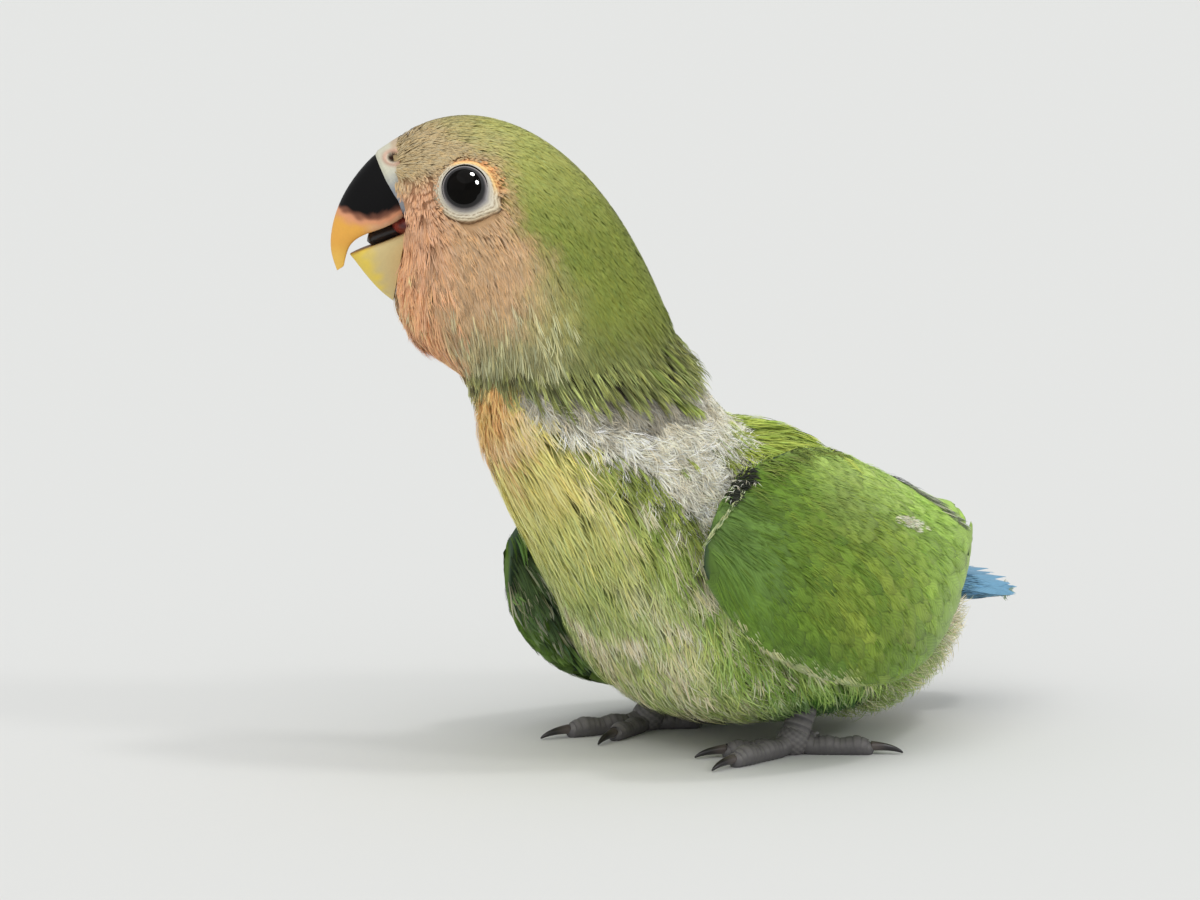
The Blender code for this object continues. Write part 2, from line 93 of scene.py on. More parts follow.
# Two small lamps light nothing but the eyes and give them their glints. Each stands where a ball mirrors it at the
# place given across and up, and a sun shines the same way on all the rest.
eyes_only = bpy.data.collections.new("eyes_only")
for number, (across, up_high) in enumerate(((0.24, 0.54), (0.43, 0.24))):
    facing = right * across + upward * up_high + back * np.sqrt(1.0 - across**2 - up_high**2)
    lamp_axis = 2.0 * (facing @ back) * facing - back
    lamp_side = np.cross((0.0, 0.0, 1.0), lamp_axis)
    lamp_side /= np.linalg.norm(lamp_side)
    glint = bpy.data.lights.new(f"eye_glint_{number}", "AREA")
    glint.shape, glint.size, glint.energy = "DISK", 0.26, 50.0
    glint_lamp = bpy.data.objects.new(f"eye_glint_{number}", glint)
    glint_lamp.matrix_world = placed(lamp_side, np.cross(lamp_axis, lamp_side), lamp_axis, aim + lamp_axis * 900.0)
    glint_lamp.light_linking.receiver_collection = eyes_only
    glint_lamp.visible_diffuse = False
    bpy.context.scene.collection.objects.link(glint_lamp)
    soft_sun(f"key_light_{number}", lamp_axis, 0.39, 8.0)
sky = bpy.data.worlds.new("sky")
sky.use_nodes = True
sky.node_tree.nodes["Background"].inputs["Color"].default_value = (0.93, 0.95, 0.96, 1.0)
sky.node_tree.nodes["Background"].inputs["Strength"].default_value = 0.60
bpy.context.scene.world = sky


def plain_material(name, colour, roughness, specular=0.5):
    """A material of one colour, with its shader and its node tree for more work."""
    made = bpy.data.materials.new(name)
    made.use_nodes = True
    shader = made.node_tree.nodes["Principled BSDF"]
    shader.inputs["Base Color"].default_value = (*colour, 1.0)
    shader.inputs["Roughness"].default_value = roughness
    shader.inputs["Specular IOR Level"].default_value = specular
    return made, shader, made.node_tree


def add_node(tree, kind, **values):
    """A node with its properties or input sockets set by name; spaces in a socket's name are underscores."""
    node = tree.nodes.new(kind)
    for key, value in values.items():
        if hasattr(node, key):
            setattr(node, key, value)
        else:
            socket = next(s for s in node.inputs if s.name.replace(" ", "_") == key)
            socket.default_value = value
    return node


floor_material, floor_shader, floor_tree = plain_material("pale_floor", (0.705, 0.705, 0.69), 0.85, 0.0)
floor_mesh = bpy.data.meshes.new("floor")
floor_turn = np.linspace(0.0, 2.0 * np.pi, 96, endpoint=False)
floor_mesh.from_pydata(
    np.stack([np.cos(floor_turn), np.sin(floor_turn), 0.0 * floor_turn], 1) * 3.0, [], [list(range(96))]
)
floor_mesh.materials.append(floor_material)
floor = bpy.data.objects.new("floor", floor_mesh)
bpy.context.scene.collection.objects.link(floor)


# Skin. One thin, loose skin goes over head, neck, trunk, wings and tail, and lies under the plumage by its depth.
# It has the colours of the feathers that grow from it, darkened as painted shade under the plumage, with a band of
# painted shadow below the hood's fringe, and it is dark red in the corners of the mouth.
NECK_AXIS = np.array([0.0, -31.3, 0.0]) + STAND
HEAD_TURN = np.radians(38.0)
EYE_LEVEL = (11.1, 81.5)
FLESH_SECTIONS = (
    # turn in degrees, top (ahead, high), bottom (ahead, high), half width, sag
    (0, (-69.5, 25.5), (-68.5, 13.0), 6.5, 0.0),
    (0, (-63.5, 30.0), (-62.5, 7.4), 12.0, 0.0),
    (0, (-54.5, 36.4), (-53.5, 4.8), 16.4, 0.15),
    (0, (-46.5, 42.0), (-41.0, 4.2), 19.0, 0.20),
    (0, (-39.5, 45.6), (-27.0, 4.8), 20.0, 0.20),
    (0, (-33.4, 45.8), (-16.2, 8.4), 19.2, 0.20),
    (0, (-28.6, 47.2), (-10.4, 18.4), 17.0, 0.16),
    (2, (-24.2, 51.4), (-1.5, 30.0), 15.6, 0.10),
    (8, (-20.0, 56.4), (5.2, 39.0), 13.8, 0.05),
    (22, (-17.1, 63.0), (8.4, 45.0), 12.6, 0.05),
    (32, (-14.0, 69.7), (8.9, 48.6), 12.1, 0.10),
    (38, (-10.0, 77.1), (9.0, 51.1), 12.0, 0.12),
    (38, (-4.4, 84.2), (9.6, 53.5), 11.9, 0.14),
    (38, (2.2, 89.1), (11.4, 55.9), 11.6, 0.14),
    (38, (9.2, 91.4), (14.8, 58.2), 10.8, 0.14),
    (38, (15.4, 90.8), (18.3, 60.8), 9.4, 0.12),
    (38, (20.2, 88.5), (20.4, 63.8), 7.7, 0.08),
    (38, (23.0, 85.6), (22.0, 67.5), 5.0, 0.05),
)
WING_SECTIONS = (
    # y, top edge (x, z), bottom edge (x, z), bulge, thickness
    (-22.0, (23.4, 34.5), (24.8, 27.5), 0.6, 2.4),
    (-19.5, (21.6, 38.5), (26.4, 22.5), 2.2, 3.2),
    (-13.0, (18.6, 42.4), (27.9, 16.4), 4.0, 3.6),
    (-3.0, (14.6, 44.4), (28.7, 12.4), 5.6, 3.2),
    (7.0, (11.2, 44.6), (27.8, 10.6), 6.8, 3.0),
    (17.0, (8.4, 41.4), (24.2, 12.4), 6.8, 2.6),
    (26.0, (6.4, 37.2), (19.0, 16.0), 6.0, 2.2),
    (34.0, (4.8, 33.6), (13.0, 21.0), 4.4, 1.8),
    (40.5, (3.4, 31.2), (6.6, 26.2), 1.8, 1.5),
)
WING_ARC = 6
DROOP, OPENING = np.radians(4.0), 1.21
DROOP_AXIS, DROOP_SHIFT = np.array([0.0, 34.0, 36.0]), np.array([0.0, 0.6, -1.4])
TAIL_SECTIONS = (
    # y, z, half width, half thickness
    (31.0, 19.6, 4.6, 2.6),
    (36.0, 19.4, 5.6, 2.6),
    (41.0, 18.9, 6.6, 2.2),
    (45.5, 18.3, 6.8, 1.5),
    (49.0, 17.6, 5.4, 1.0),
    (51.4, 17.1, 2.6, 0.6),
)


def forward(turn):
    """The level direction ahead of a section turned this far to the right."""
    return np.array([-np.sin(turn), -np.cos(turn), 0.0])


def leftward(turn):
    """The level direction to the left of a section turned this far."""
    return np.array([np.cos(turn), -np.sin(turn), 0.0])


def ring_gain(points):
    """How far outside its round a ring's control points stand: three over two plus the cosine of their spacing."""
    return 3.0 / (2.0 + np.cos(2.0 * np.pi / points))


def with_ends(rings):
    """Control rings with one more at each end, as far beyond the last as the one before it lies within."""
    return np.concatenate([2 * rings[:1] - rings[1:2], rings, 2 * rings[-1:] - rings[-2:-1]])


def flesh_rings():
    """Sixteen points round each section: a flattened oval whose widest place sags below its middle."""
    angle = np.arange(16) * 2.0 * np.pi / 16
    gain = ring_gain(16)
    rings = []
    for turn, top, bottom, half_width, sag in FLESH_SECTIONS:
        turn = np.radians(turn)
        high = NECK_AXIS + forward(turn) * top[0] + (0.0, 0.0, top[1])
        low = NECK_AXIS + forward(turn) * bottom[0] + (0.0, 0.0, bottom[1])
        drop = gain * (np.cos(angle) - sag * np.sin(angle) ** 2)
        swing = gain * half_width * np.sin(angle) * (1.0 - sag * np.cos(angle))
        rings.append((high + low) / 2 + drop[:, None] * (high - low) / 2 + swing[:, None] * leftward(turn))
    return np.array(rings)


def wing_rings():
    """A crescent across the wing: an arc from the top edge to the bottom edge outside, and back within it."""
    share = np.arange(WING_ARC) / (WING_ARC - 1)
    swell = 4.0 * share * (1.0 - share)
    rings = []
    for y, top, bottom, bulge, thickness in WING_SECTIONS:
        x = top[0] + (bottom[0] - top[0]) * share + bulge * swell
        z = top[1] + (bottom[1] - top[1]) * share
        slope_x = bottom[0] - top[0] + bulge * 4.0 * (1.0 - 2.0 * share)
        slope_z = np.full(WING_ARC, bottom[1] - top[1])
        inward = np.stack([slope_z, 0 * slope_z, -slope_x], 1)
        inward /= np.linalg.norm(inward, axis=1)[:, None]
        outer = np.stack([x, np.full(WING_ARC, y), z], 1)
        inner = outer + inward * (thickness * (0.45 + 0.55 * np.sqrt(swell)))[:, None]
        rings.append(np.concatenate([outer, inner[::-1]]))
    return np.array(rings)


def drooped(points):
    """The left wing's points mirrored, spread in height, tipped and lowered, for the wing that hangs lower."""
    spread = (points * (-1.0, 1.0, 1.0) - DROOP_AXIS) * (1.0, 1.0, OPENING)
    cosine, sine = np.cos(DROOP), np.sin(DROOP)
    tipped = spread @ np.array([[1, 0, 0], [0, cosine, sine], [0, -sine, cosine]])
    return tipped + DROOP_AXIS + DROOP_SHIFT


def tail_rings():
    """Flat ovals from the root of the tail to its tip."""
    angle = np.arange(12) * 2.0 * np.pi / 12
    gain = ring_gain(12)
    return np.array([
        np.stack([half_width * gain * np.cos(angle), y + 0 * angle, z + half_thick * gain * np.sin(angle)], 1)
        for y, z, half_width, half_thick in TAIL_SECTIONS
    ])


def spline_weights(t):
    """The weights of four neighbouring control rows of a uniform cubic B-spline at t, and their slopes."""
    weights = np.stack([(1 - t) ** 3, 3 * t**3 - 6 * t**2 + 4, -3 * t**3 + 3 * t**2 + 3 * t + 1, t**3]) / 6
    slopes = np.stack([-((1 - t) ** 2), 3 * t**2 - 4 * t, -3 * t**2 + 2 * t + 1, t**2]) / 2
    return weights, slopes


def sheet_at(sheet, u, v):
    """Points of a sheet with its two slopes and outward normals: the tensor product of two cubic B-splines,
    open along u and closed round v, carried straight on past its ends."""
    rings, outward = sheet
    rows, around = rings.shape[0] - 2, rings.shape[1]
    inside = np.clip(u, 0.0, rows - 1.0)
    i = np.minimum(inside.astype(int), rows - 2)
    j = np.floor(v).astype(int)
    along, along_slope = spline_weights(inside - i)
    across, across_slope = spline_weights(v - j)
    point, slope_u, slope_v = (np.zeros((*np.shape(u), 3)) for _ in range(3))
    for a in range(4):
        for b in range(4):
            corner = rings[i + a, (j + b - 1) % around]
            point += (along[a] * across[b])[..., None] * corner
            slope_u += (along_slope[a] * across[b])[..., None] * corner
            slope_v += (along[a] * across_slope[b])[..., None] * corner
    point += slope_u * (u - inside)[..., None]
    normal = np.cross(slope_u, slope_v) * outward
    normal /= np.linalg.norm(normal, axis=-1)[..., None] + 1e-9
    return point, slope_u, slope_v, normal


FLESH = (with_ends(flesh_rings()), 1.0)
WING = {
    "left": (with_ends(wing_rings()) + STAND, -1.0),
    "right": (with_ends(drooped(wing_rings())) + STAND, 1.0),
}
TAIL = (with_ends(tail_rings()) + STAND, 1.0)
HEAD_FRAME = np.array([forward(HEAD_TURN), leftward(HEAD_TURN), (0.0, 0.0, 1.0)])
HEAD_PLACE = NECK_AXIS + forward(HEAD_TURN) * EYE_LEVEL[0] + (0.0, 0.0, EYE_LEVEL[1])


def in_head(point):
    """Places seen from the head: ahead of the eyes, out from its middle plane, and above the eyes."""
    seen = (point - HEAD_PLACE) @ HEAD_FRAME.T
    return seen[..., 0], seen[..., 1], seen[..., 2]


def from_head(ahead, out, high):
    """The place that is this far ahead of the eyes, to the left of the middle and above the eyes."""
    return HEAD_PLACE + np.stack(np.broadcast_arrays(ahead, out, high), -1) @ HEAD_FRAME


def ramp(value, low, high):
    """A smooth step from 0 at low to 1 at high: three times its square less twice its cube."""
    t = np.clip((value - low) / (high - low), 0.0, 1.0)
    return t * t * (3.0 - 2.0 * t)


def paint(*shades):
    """A colour given as display values from 0 to 255, turned into linear light."""
    c = np.array(shades, float) / 255.0
    return np.where(c <= 0.04045, c / 12.92, ((c + 0.055) / 1.055) ** 2.4)


def mixed(first, second, share):
    """One colour turning into another by a share for each point."""
    return first + (second - first) * np.asarray(share)[..., None]


def mottle(point, size, seed):
    """A soft random pattern from -1 to 1: six sine waves of about this length, crossing in random directions."""
    draw = np.random.default_rng(seed)
    waves = draw.normal(0.0, 1.0, (6, 3)) * (2.0 * np.pi / size) / 1.7
    shifts = draw.uniform(0.0, 2.0 * np.pi, 6)
    return sum(np.sin(point @ wave + shift) for wave, shift in zip(waves, shifts)) / 3.0


def beyond(line, x, z):
    """Signed distance from a line of points in a plane, positive on its right-hand side going along it."""
    best = np.full(np.shape(x), 1e9)
    signed = np.zeros(np.shape(x))
    for (x0, z0), (x1, z1) in zip(line, line[1:]):
        length = np.hypot(x1 - x0, z1 - z0)
        t = np.clip(((x - x0) * (x1 - x0) + (z - z0) * (z1 - z0)) / length**2, 0.0, 1.0)
        distance = np.hypot(x - x0 - t * (x1 - x0), z - z0 - t * (z1 - z0))
        side = np.sign((x - x0) * (z1 - z0) - (z - z0) * (x1 - x0))
        nearer = distance < best
        best = np.where(nearer, distance, best)
        signed = np.where(nearer, distance * side, signed)
    return signed


# The edge of the green hood in the head's side view, from the forehead over the eye, down behind the cheek and
# forward below it, as (ahead, high). Its right-hand side is the hood.
HOOD_LINE = (
    (13.0, 14.6), (6.0, 10.4), (-3.0, 5.6), (-5.4, 0.5), (-6.2, -3.8), (-10.6, -6.8),
    (-13.4, -12.0), (-13.6, -17.5), (-11.0, -22.0), (-5.0, -26.0), (3.0, -30.5), (8.0, -34.0),
)
LIME, OLIVE, MOSS = paint(182, 184, 102), paint(140, 152, 64), paint(108, 124, 48)
TAN, PEACH, SALMON = paint(196, 174, 132), paint(220, 170, 132), paint(255, 192, 142)
ORANGE, CHEEK, STRAW = paint(250, 172, 104), paint(210, 172, 130), paint(196, 182, 140)
# DOWN_SHADOW is the colour of painted shade on the down under the hood
DOWN_PALE, DOWN_GREY, DOWN_SHADOW = paint(246, 242, 222), paint(220, 214, 196), paint(92, 82, 68)
YELLOW, LEMON, BREAST_GREEN = paint(246, 233, 148), paint(224, 227, 142), paint(184, 200, 106)
BELLY_GREEN, BELLY_PINK, FLANK = paint(178, 196, 112), paint(240, 228, 202), paint(150, 178, 88)
MANTLE, LEAF, BLUE = paint(158, 176, 72), paint(116, 146, 54), paint(112, 160, 190)
GAPE_RED, SAGE, BROW = paint(92, 26, 22), paint(168, 166, 118), paint(255, 214, 142)
EYE_OUT = 6.8
EYE_RADIUS = 3.5


def sheet_angle(v):
    """Degrees from the back's middle line down to the breast's, the same on both sides, for a place round the body."""
    angle = np.mod(v * 22.5, 360.0)
    return np.minimum(angle, 360.0 - angle)


def above_hood_edge(u, v):
    """How far, in about a millimetre, a place lies above the line where the hood's longest feathers end."""
    angle = sheet_angle(v)
    edge = np.interp(angle, (0, 30, 58, 76, 93, 104, 115, 132, 143, 180), (8.2, 8.2, 8.3, 8.7, 9.15, 9.75, 10.7, 11.3, 12.0, 12.5))
    return (u - edge) * np.interp(angle, (0, 90, 180), (7.3, 5.0, 3.0))


def head_colour(point):
    """Markings of the head: a green hood, a tan forehead, a peach face and an orange throat and brow, with a painted
    highlight along the top of the crown.
    """
    ahead, out, high = in_head(point)
    high = high - 0.10 * mottle(point, 5.0, 3)
    uneven = mottle(point, 3.0, 4) * 0.5 + mottle(point, 1.2, 5) * 0.4
    face = mixed(CHEEK, STRAW, ramp(-high + 0.25 * -ahead, 11.0, 21.0))
    face = mixed(face, paint(174, 168, 108), 0.9 * ramp(-ahead + 1.5 * uneven, 5.0, 11.0) * ramp(-high, 4.0, 9.0))
    face = mixed(face, PEACH, ramp(ahead, 1.0, 6.0) * ramp(high, -16.0, -6.0))
    face = mixed(face, TAN, ramp(high + 0.35 * ahead, 1.5, 5.5))
    front = beyond(((9.5, -5.0), (8.0, -16.0), (5.0, -25.0)), ahead, high)
    face = mixed(face, SALMON, 0.9 * ramp(4.2 + 0.9 * uneven - np.abs(front), 0.0, 3.0) * ramp(-high, 3.5, 8.0))
    crown = mixed(OLIVE * 0.90, LIME, np.clip(ramp(high, -7.0, 11.0) + 0.2 * uneven, 0.0, 1.0))
    # painted highlight: the top of the crown is lighter, as if lit from above
    crown = mixed(crown, LIME * 1.35, 0.9 * ramp(high - 0.25 * ahead, 8.0, 12.0))
    crown = mixed(crown, MOSS, 0.7 * ramp(-high, 3.0, 12.0) * ramp(ahead, -17.0, -9.0) + 0.8 * ramp(-high, 14.0, 22.0))
    blend = 2.2 + 2.0 * ramp(high, 2.0, 8.0) + 2.4 * ramp(-high, 7.0, 13.0)
    hood = ramp((beyond(HOOD_LINE, ahead, high) + 0.9 * uneven) / blend, -1.0, 1.0)
    hood = hood * (1.0 - 0.35 * ramp(-high, 14.0, 22.0) * ramp(-ahead, -4.0, 12.0))
    low_cheek = ramp(-high + 0.15 * ahead + uneven, 11.5, 19.0) * ramp(-ahead, -3.0, 4.0)
    colour = mixed(mixed(face, SAGE * 0.86, 0.95 * low_cheek), crown, hood)
    brow = np.hypot(ahead + 0.35, high + 0.35)
    turn = np.degrees(np.arctan2(high + 0.3, ahead + 0.4))
    arc = ramp(brow, 3.3, 3.6) * ramp(-brow, -4.6, -4.2) * ramp(turn, 25.0, 60.0) * ramp(-turn, -185.0, -160.0)
    return mixed(colour, mixed(BROW, ORANGE, ramp(brow, 3.7, 4.2)), 0.7 * arc)


def body_colour(point, u, v):
    """Markings from the throat back: orange and yellow bib, green breast sides, grey down, pinkish belly,
    green flanks, mantle and back, and a blue rump, with painted shade darkening the flanks low under the wings."""
    angle = sheet_angle(v)
    uneven = mottle(point, 6.0, 7) * 0.6 + mottle(point, 2.4, 8) * 0.4
    down = mixed(DOWN_GREY, DOWN_PALE, np.clip(0.55 + 0.5 * uneven, 0.0, 1.0))
    bib = mixed(LEMON, YELLOW, np.clip(ramp(u, 6.2, 8.6) * 0.8 + 0.4 * uneven, 0.0, 1.0))
    bib = mixed(bib, PEACH * 1.25, 0.7 * ramp(u + 0.25 * uneven, 8.8, 9.6) * ramp(angle, 134.0, 146.0))
    bib = mixed(bib, paint(255, 190, 132) * 1.5, ramp(u + 0.2 * uneven, 9.9, 10.5) * ramp(angle, 124.0, 134.0))
    bib = mixed(bib, BREAST_GREEN, np.clip(ramp(-u, -7.2, -5.4) + ramp(-angle, -128.0, -104.0) * ramp(-u, -8.6, -7.4), 0.0, 1.0) * 0.85)
    pink = 1.2 * np.exp(-(((u - 6.3) / 0.6) ** 2) - ((angle - 146.0) / 17.0) ** 2) + 0.9 * ramp(-np.abs(u - 5.2), -0.5, -0.2) * ramp(angle, 150.0, 165.0)
    belly = mixed(BELLY_GREEN * 1.05, BELLY_PINK, 0.14 + 0.8 * ramp(uneven + pink, 0.36, 0.96))
    belly = mixed(belly * 1.12, mixed(FLANK * 1.62, BELLY_PINK, 0.10 + 0 * u), ramp(-angle, -138.0, -112.0) * np.clip(0.9 - 0.6 * uneven, 0.0, 1.0))
    # painted shade: the flank low under the wing is darkened and greened
    belly = mixed(belly, FLANK * (0.19, 0.38, 0.12), 0.95 * ramp(-u, -4.8, -3.9) * ramp(angle, 108.0, 122.0) * ramp(-angle, -160.0, -145.0))
    belly = mixed(belly, STRAW, ramp(-u, -1.8, -0.8))
    under = mixed(belly, bib, ramp(u, 5.4, 6.6))
    back_green = mixed(LEAF, MANTLE, ramp(u, 3.2, 5.2))
    back_green = mixed(back_green, BLUE, ramp(-u, -2.2, -1.2))
    colour = mixed(back_green, under, ramp(angle, 78.0, 96.0))
    bare = ramp(u, 5.9, 6.5) * ramp(-angle, -112.0, -100.0)
    return mixed(colour, down, bare)


def plumage_colour(point, u, v):
    """Markings of the whole of the flesh: the head's, and the body's below the edge of the hood."""
    share = ramp(above_hood_edge(u, v), 0.5, 3.0)
    return mixed(body_colour(point, u, v), head_colour(point), share)


def wing_colour(point, y, z):
    """Markings of the wing's outside: leaf green with olive streaks, bluish towards the front and the lower edge,
    yellower behind, with painted light making the top edge lighter. The streaks follow the feathers, backwards and
    down."""
    lean = np.radians(50.0)
    along, across = y * np.cos(lean) - z * np.sin(lean), y * np.sin(lean) + z * np.cos(lean)
    streak = mottle(np.stack([along * 0.30, across, 0 * along], -1), 3.4, 11)
    uneven = mottle(point, 9.0, 13)
    colour = mixed(paint(92, 122, 31), paint(138, 168, 70), ramp(y, 2.0, 34.0)) * 1.07
    colour = mixed(colour, paint(130, 144, 52), np.clip(0.25 + 0.35 * streak + 0.3 * uneven, 0.0, 0.7) * ramp(-np.abs(y - 4.0), -18.0, -6.0))
    colour = mixed(colour, paint(86, 120, 54), 0.7 * ramp(-z - 0.45 * y, -24.0, -8.0) * ramp(-y, -4.0, 4.0))
    colour = mixed(colour, paint(90, 120, 54), 0.7 * ramp(-y, 10.0, 17.0) * ramp(z, 24.0, 34.0))
    colour = mixed(colour, paint(160, 180, 94), 0.50 * ramp(z, 32.0, 39.0) * ramp(y, -4.0, 4.0) * ramp(-y, -30.0, -20.0))
    # lighter towards the rear, and much lighter along the top edge as painted light from above
    colour = colour * (1.0 + 0.12 * ramp(y, 4.0, 12.0) + 0.45 * ramp(z + 0.32 * np.maximum(y - 4.0, 0.0), 38.0, 45.0))[..., None]
    colour = colour * (1.0 + 0.30 * ramp(-z, -18.0, -13.0) * ramp(y, -10.0, 0.0))[..., None]
    return colour * (1.0 + 0.11 * streak)[..., None]


def coat_depth(u):
    """How far the skin lies under the solid's surface, by the place along the body."""
    return np.interp(u, (0.0, 3.0, 6.0, 8.0, 10.0, 12.0, 14.0, 16.0, 17.0), (1.6, 2.4, 2.4, 1.9, 1.4, 1.0, 0.8, 0.6, 0.5))


def throat_share(u, v):
    """Where the ragged feathers of the throat hang, under and behind the bill."""
    return ramp(sheet_angle(v), 112.0, 140.0) * ramp(u, 10.5, 12.0)


def grid_faces(rows, columns, start=0, flip=False):
    """Quads of a grid that is closed round its columns, with a fan at each end."""
    row, column = np.meshgrid(np.arange(rows - 1), np.arange(columns), indexing="ij")
    beside = (column + 1) % columns
    quads = np.stack([row * columns + column, row * columns + beside, (row + 1) * columns + beside, (row + 1) * columns + column], -1)
    quads = quads.reshape(-1, 4)
    ring = np.arange(columns)
    last = (rows - 1) * columns
    first_pole, last_pole = rows * columns, rows * columns + 1
    fans = np.concatenate([
        np.stack([(ring + 1) % columns, ring, np.full(columns, first_pole), np.full(columns, first_pole)], 1),
        np.stack([last + ring, last + (ring + 1) % columns, np.full(columns, last_pole), np.full(columns, last_pole)], 1),
    ])
    triangles = np.concatenate([quads[:, [0, 1, 2]], quads[:, [0, 2, 3]], fans[:, [0, 1, 2]]])
    return (triangles[:, ::-1] if flip else triangles) + start


def capped(points):
    """A grid's points with the middle of its first and last ring added, as the poles of its ends."""
    return np.concatenate([points.reshape(-1, 3), points[0].mean(0)[None], points[-1].mean(0)[None]])


def make_piece(name, points, faces, material, colour=None, maps=None, stands_for=()):
    """A smooth mesh object from arrays in millimetres, riding on the one body."""
    mesh = bpy.data.meshes.new(name)
    mesh.vertices.add(len(points))
    mesh.vertices.foreach_set("co", (np.asarray(points) * MM).astype(np.float32).ravel())
    mesh.loops.add(faces.size)
    mesh.loops.foreach_set("vertex_index", faces.astype(np.int32).ravel())
    mesh.polygons.add(len(faces))
    mesh.polygons.foreach_set("loop_start", np.arange(0, faces.size, faces.shape[1], dtype=np.int32))
    mesh.polygons.foreach_set("use_smooth", np.ones(len(faces), bool))
    mesh.update(calc_edges=True)
    for map_name, places in (maps or {}).items():
        layer = mesh.uv_layers.new(name=map_name)
        layer.uv.foreach_set("vector", places[faces.ravel()].astype(np.float32).ravel())
    if colour is not None:
        layer = mesh.attributes.new("Tint", "FLOAT_COLOR", "POINT")
        shades = np.concatenate([np.clip(colour, 0.0, 1.0), np.ones((len(colour), 1))], 1)
        layer.data.foreach_set("color", shades.astype(np.float32).ravel())
    mesh.materials.append(material)
    made = bpy.data.objects.new(name, mesh)
    bpy.context.scene.collection.objects.link(made)
    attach(made, "root")
    if stands_for:
        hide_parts(*stands_for)
    return made


def tint_material(name, roughness, specular, grain, grain_size, bump=0.0):
    """A material that takes its colour from the mesh, with a fine uneven grain in tone and height."""
    made, shader, tree = plain_material(name, (0.5, 0.5, 0.5), roughness, specular)
    tint = add_node(tree, "ShaderNodeAttribute", attribute_name="Tint")
    where = add_node(tree, "ShaderNodeTexCoord")
    noise = add_node(tree, "ShaderNodeTexNoise", Scale=1.0 / (grain_size * MM), Detail=3.0, Roughness=0.6)
    tree.links.new(where.outputs["Object"], noise.inputs["Vector"])
    level = add_node(tree, "ShaderNodeMapRange", To_Min=1.0 - grain, To_Max=1.0 + grain)
    tree.links.new(noise.outputs["Fac"], level.inputs["Value"])
    shade = add_node(tree, "ShaderNodeVectorMath", operation="SCALE")
    tree.links.new(tint.outputs["Color"], shade.inputs[0])
    tree.links.new(level.outputs["Result"], shade.inputs["Scale"])
    tree.links.new(shade.outputs["Vector"], shader.inputs["Base Color"])
    if bump:
        relief = add_node(tree, "ShaderNodeBump", Strength=0.6, Distance=bump * MM)
        tree.links.new(noise.outputs["Fac"], relief.inputs["Height"])
        tree.links.new(relief.outputs["Normal"], shader.inputs["Normal"])
    return made, shader, tree


FACE_HIGH, FACE_AHEAD = (-16.0, -4.4, 5.0), (9.8, 8.0, 10.5)


def skin_shell(sheet, rows, columns, depth, colour_of):
    """Points, faces and colours of one part of the skin: its sheet moved in along its normals by the depth."""
    last = sheet[0].shape[0] - 3
    u, v = np.meshgrid(np.linspace(0.0, last, rows), np.arange(columns) * sheet[0].shape[1] / columns, indexing="ij")
    point, _, _, normal = sheet_at(sheet, u, v)
    ahead, out, high = in_head(point)
    eye = np.hypot(ahead, high) + 30.0 * (np.abs(out) < 4.0)
    socket = 1.2 * ramp(-eye, -4.6, -3.6) if sheet is FLESH else 0.0
    throat = 0.9 * throat_share(u, v) * ramp(-u, -16.2, -15.4) if sheet is FLESH else 0.0
    point = point - normal * (depth(u) + socket + throat)[..., None]
    if sheet is FLESH:
        ahead, out, high = in_head(point)
        ahead = np.minimum(ahead, np.interp(high, FACE_HIGH, FACE_AHEAD) - 0.25)
        point = np.where((u > 13.0)[..., None], from_head(ahead, out, high), point)
    colour = colour_of(point, u, v).reshape(-1, 3)
    colour = np.concatenate([colour, colour[:1], colour[-1:]])
    return capped(point), grid_faces(rows, columns, flip=sheet[1] > 0), colour


def skin_colour(point, u, v):
    """The plumage's markings darker, as painted shade under the feathers, and redder, with a band of painted shadow
    below the hood's fringe and the dark red corners of the mouth.
    """
    ahead, out, high = in_head(point)
    mouth = ramp(ahead, 5.6, 6.6) * ramp(-np.abs(high + 5.2), -2.4, -1.4) * (u > 14.0)
    # painted shade: the skin is a darker copy of the plumage, darkest over the body
    under = plumage_colour(point, u, v) * mixed(np.array([0.34, 0.30, 0.26]), np.array([0.86, 0.84, 0.80]), ramp(u, 7.0, 12.0))
    above = above_hood_edge(u, v)
    # painted shadow: a dark brown band under the hood's fringe
    under = mixed(under, paint(66, 58, 40), 0.85 * ramp(above, -2.0, 1.0) * ramp(-above, -9.0, -5.0) * (u > 7.8))
    return mixed(under, GAPE_RED, mouth)


shells = [
    skin_shell(FLESH, 190, 112, coat_depth, skin_colour),
    # the tail's skin is blue at 0.6 of its tone, painted shade under the tail feathers
    skin_shell(TAIL, 24, 32, lambda u: 0.5 + 0 * u, lambda point, u, v: mixed(BLUE, LEAF, 0 * u) * 0.6),
]
for side in ("left", "right"):
    # the wings' skin is their markings at 0.8 of their tone, painted shade under the vanes, and dark green on the inner
    # side
    shells.append(skin_shell(
        WING[side], 60, 64, lambda u: 0.35 + 0 * u,
        lambda point, u, v: mixed(wing_colour(point, point[..., 1], point[..., 2]), paint(70, 92, 70), ramp(v, 5.5, 6.0)) * 0.8,
    ))
starts = np.cumsum([0] + [len(points) for points, _, _ in shells])
skin_material, skin_shader, skin_tree = tint_material("bird_skin", 0.62, 0.3, 0.12, 0.7, 0.12)
make_piece(
    "skin",
    np.concatenate([points for points, _, _ in shells]),
    np.concatenate([faces + start for (_, faces, _), start in zip(shells, starts)]),
    skin_material,
    colour=np.concatenate([colour for _, _, colour in shells]),
    stands_for=("head", "neck", "trunk", "wing_left", "wing_right", "tail"),
)


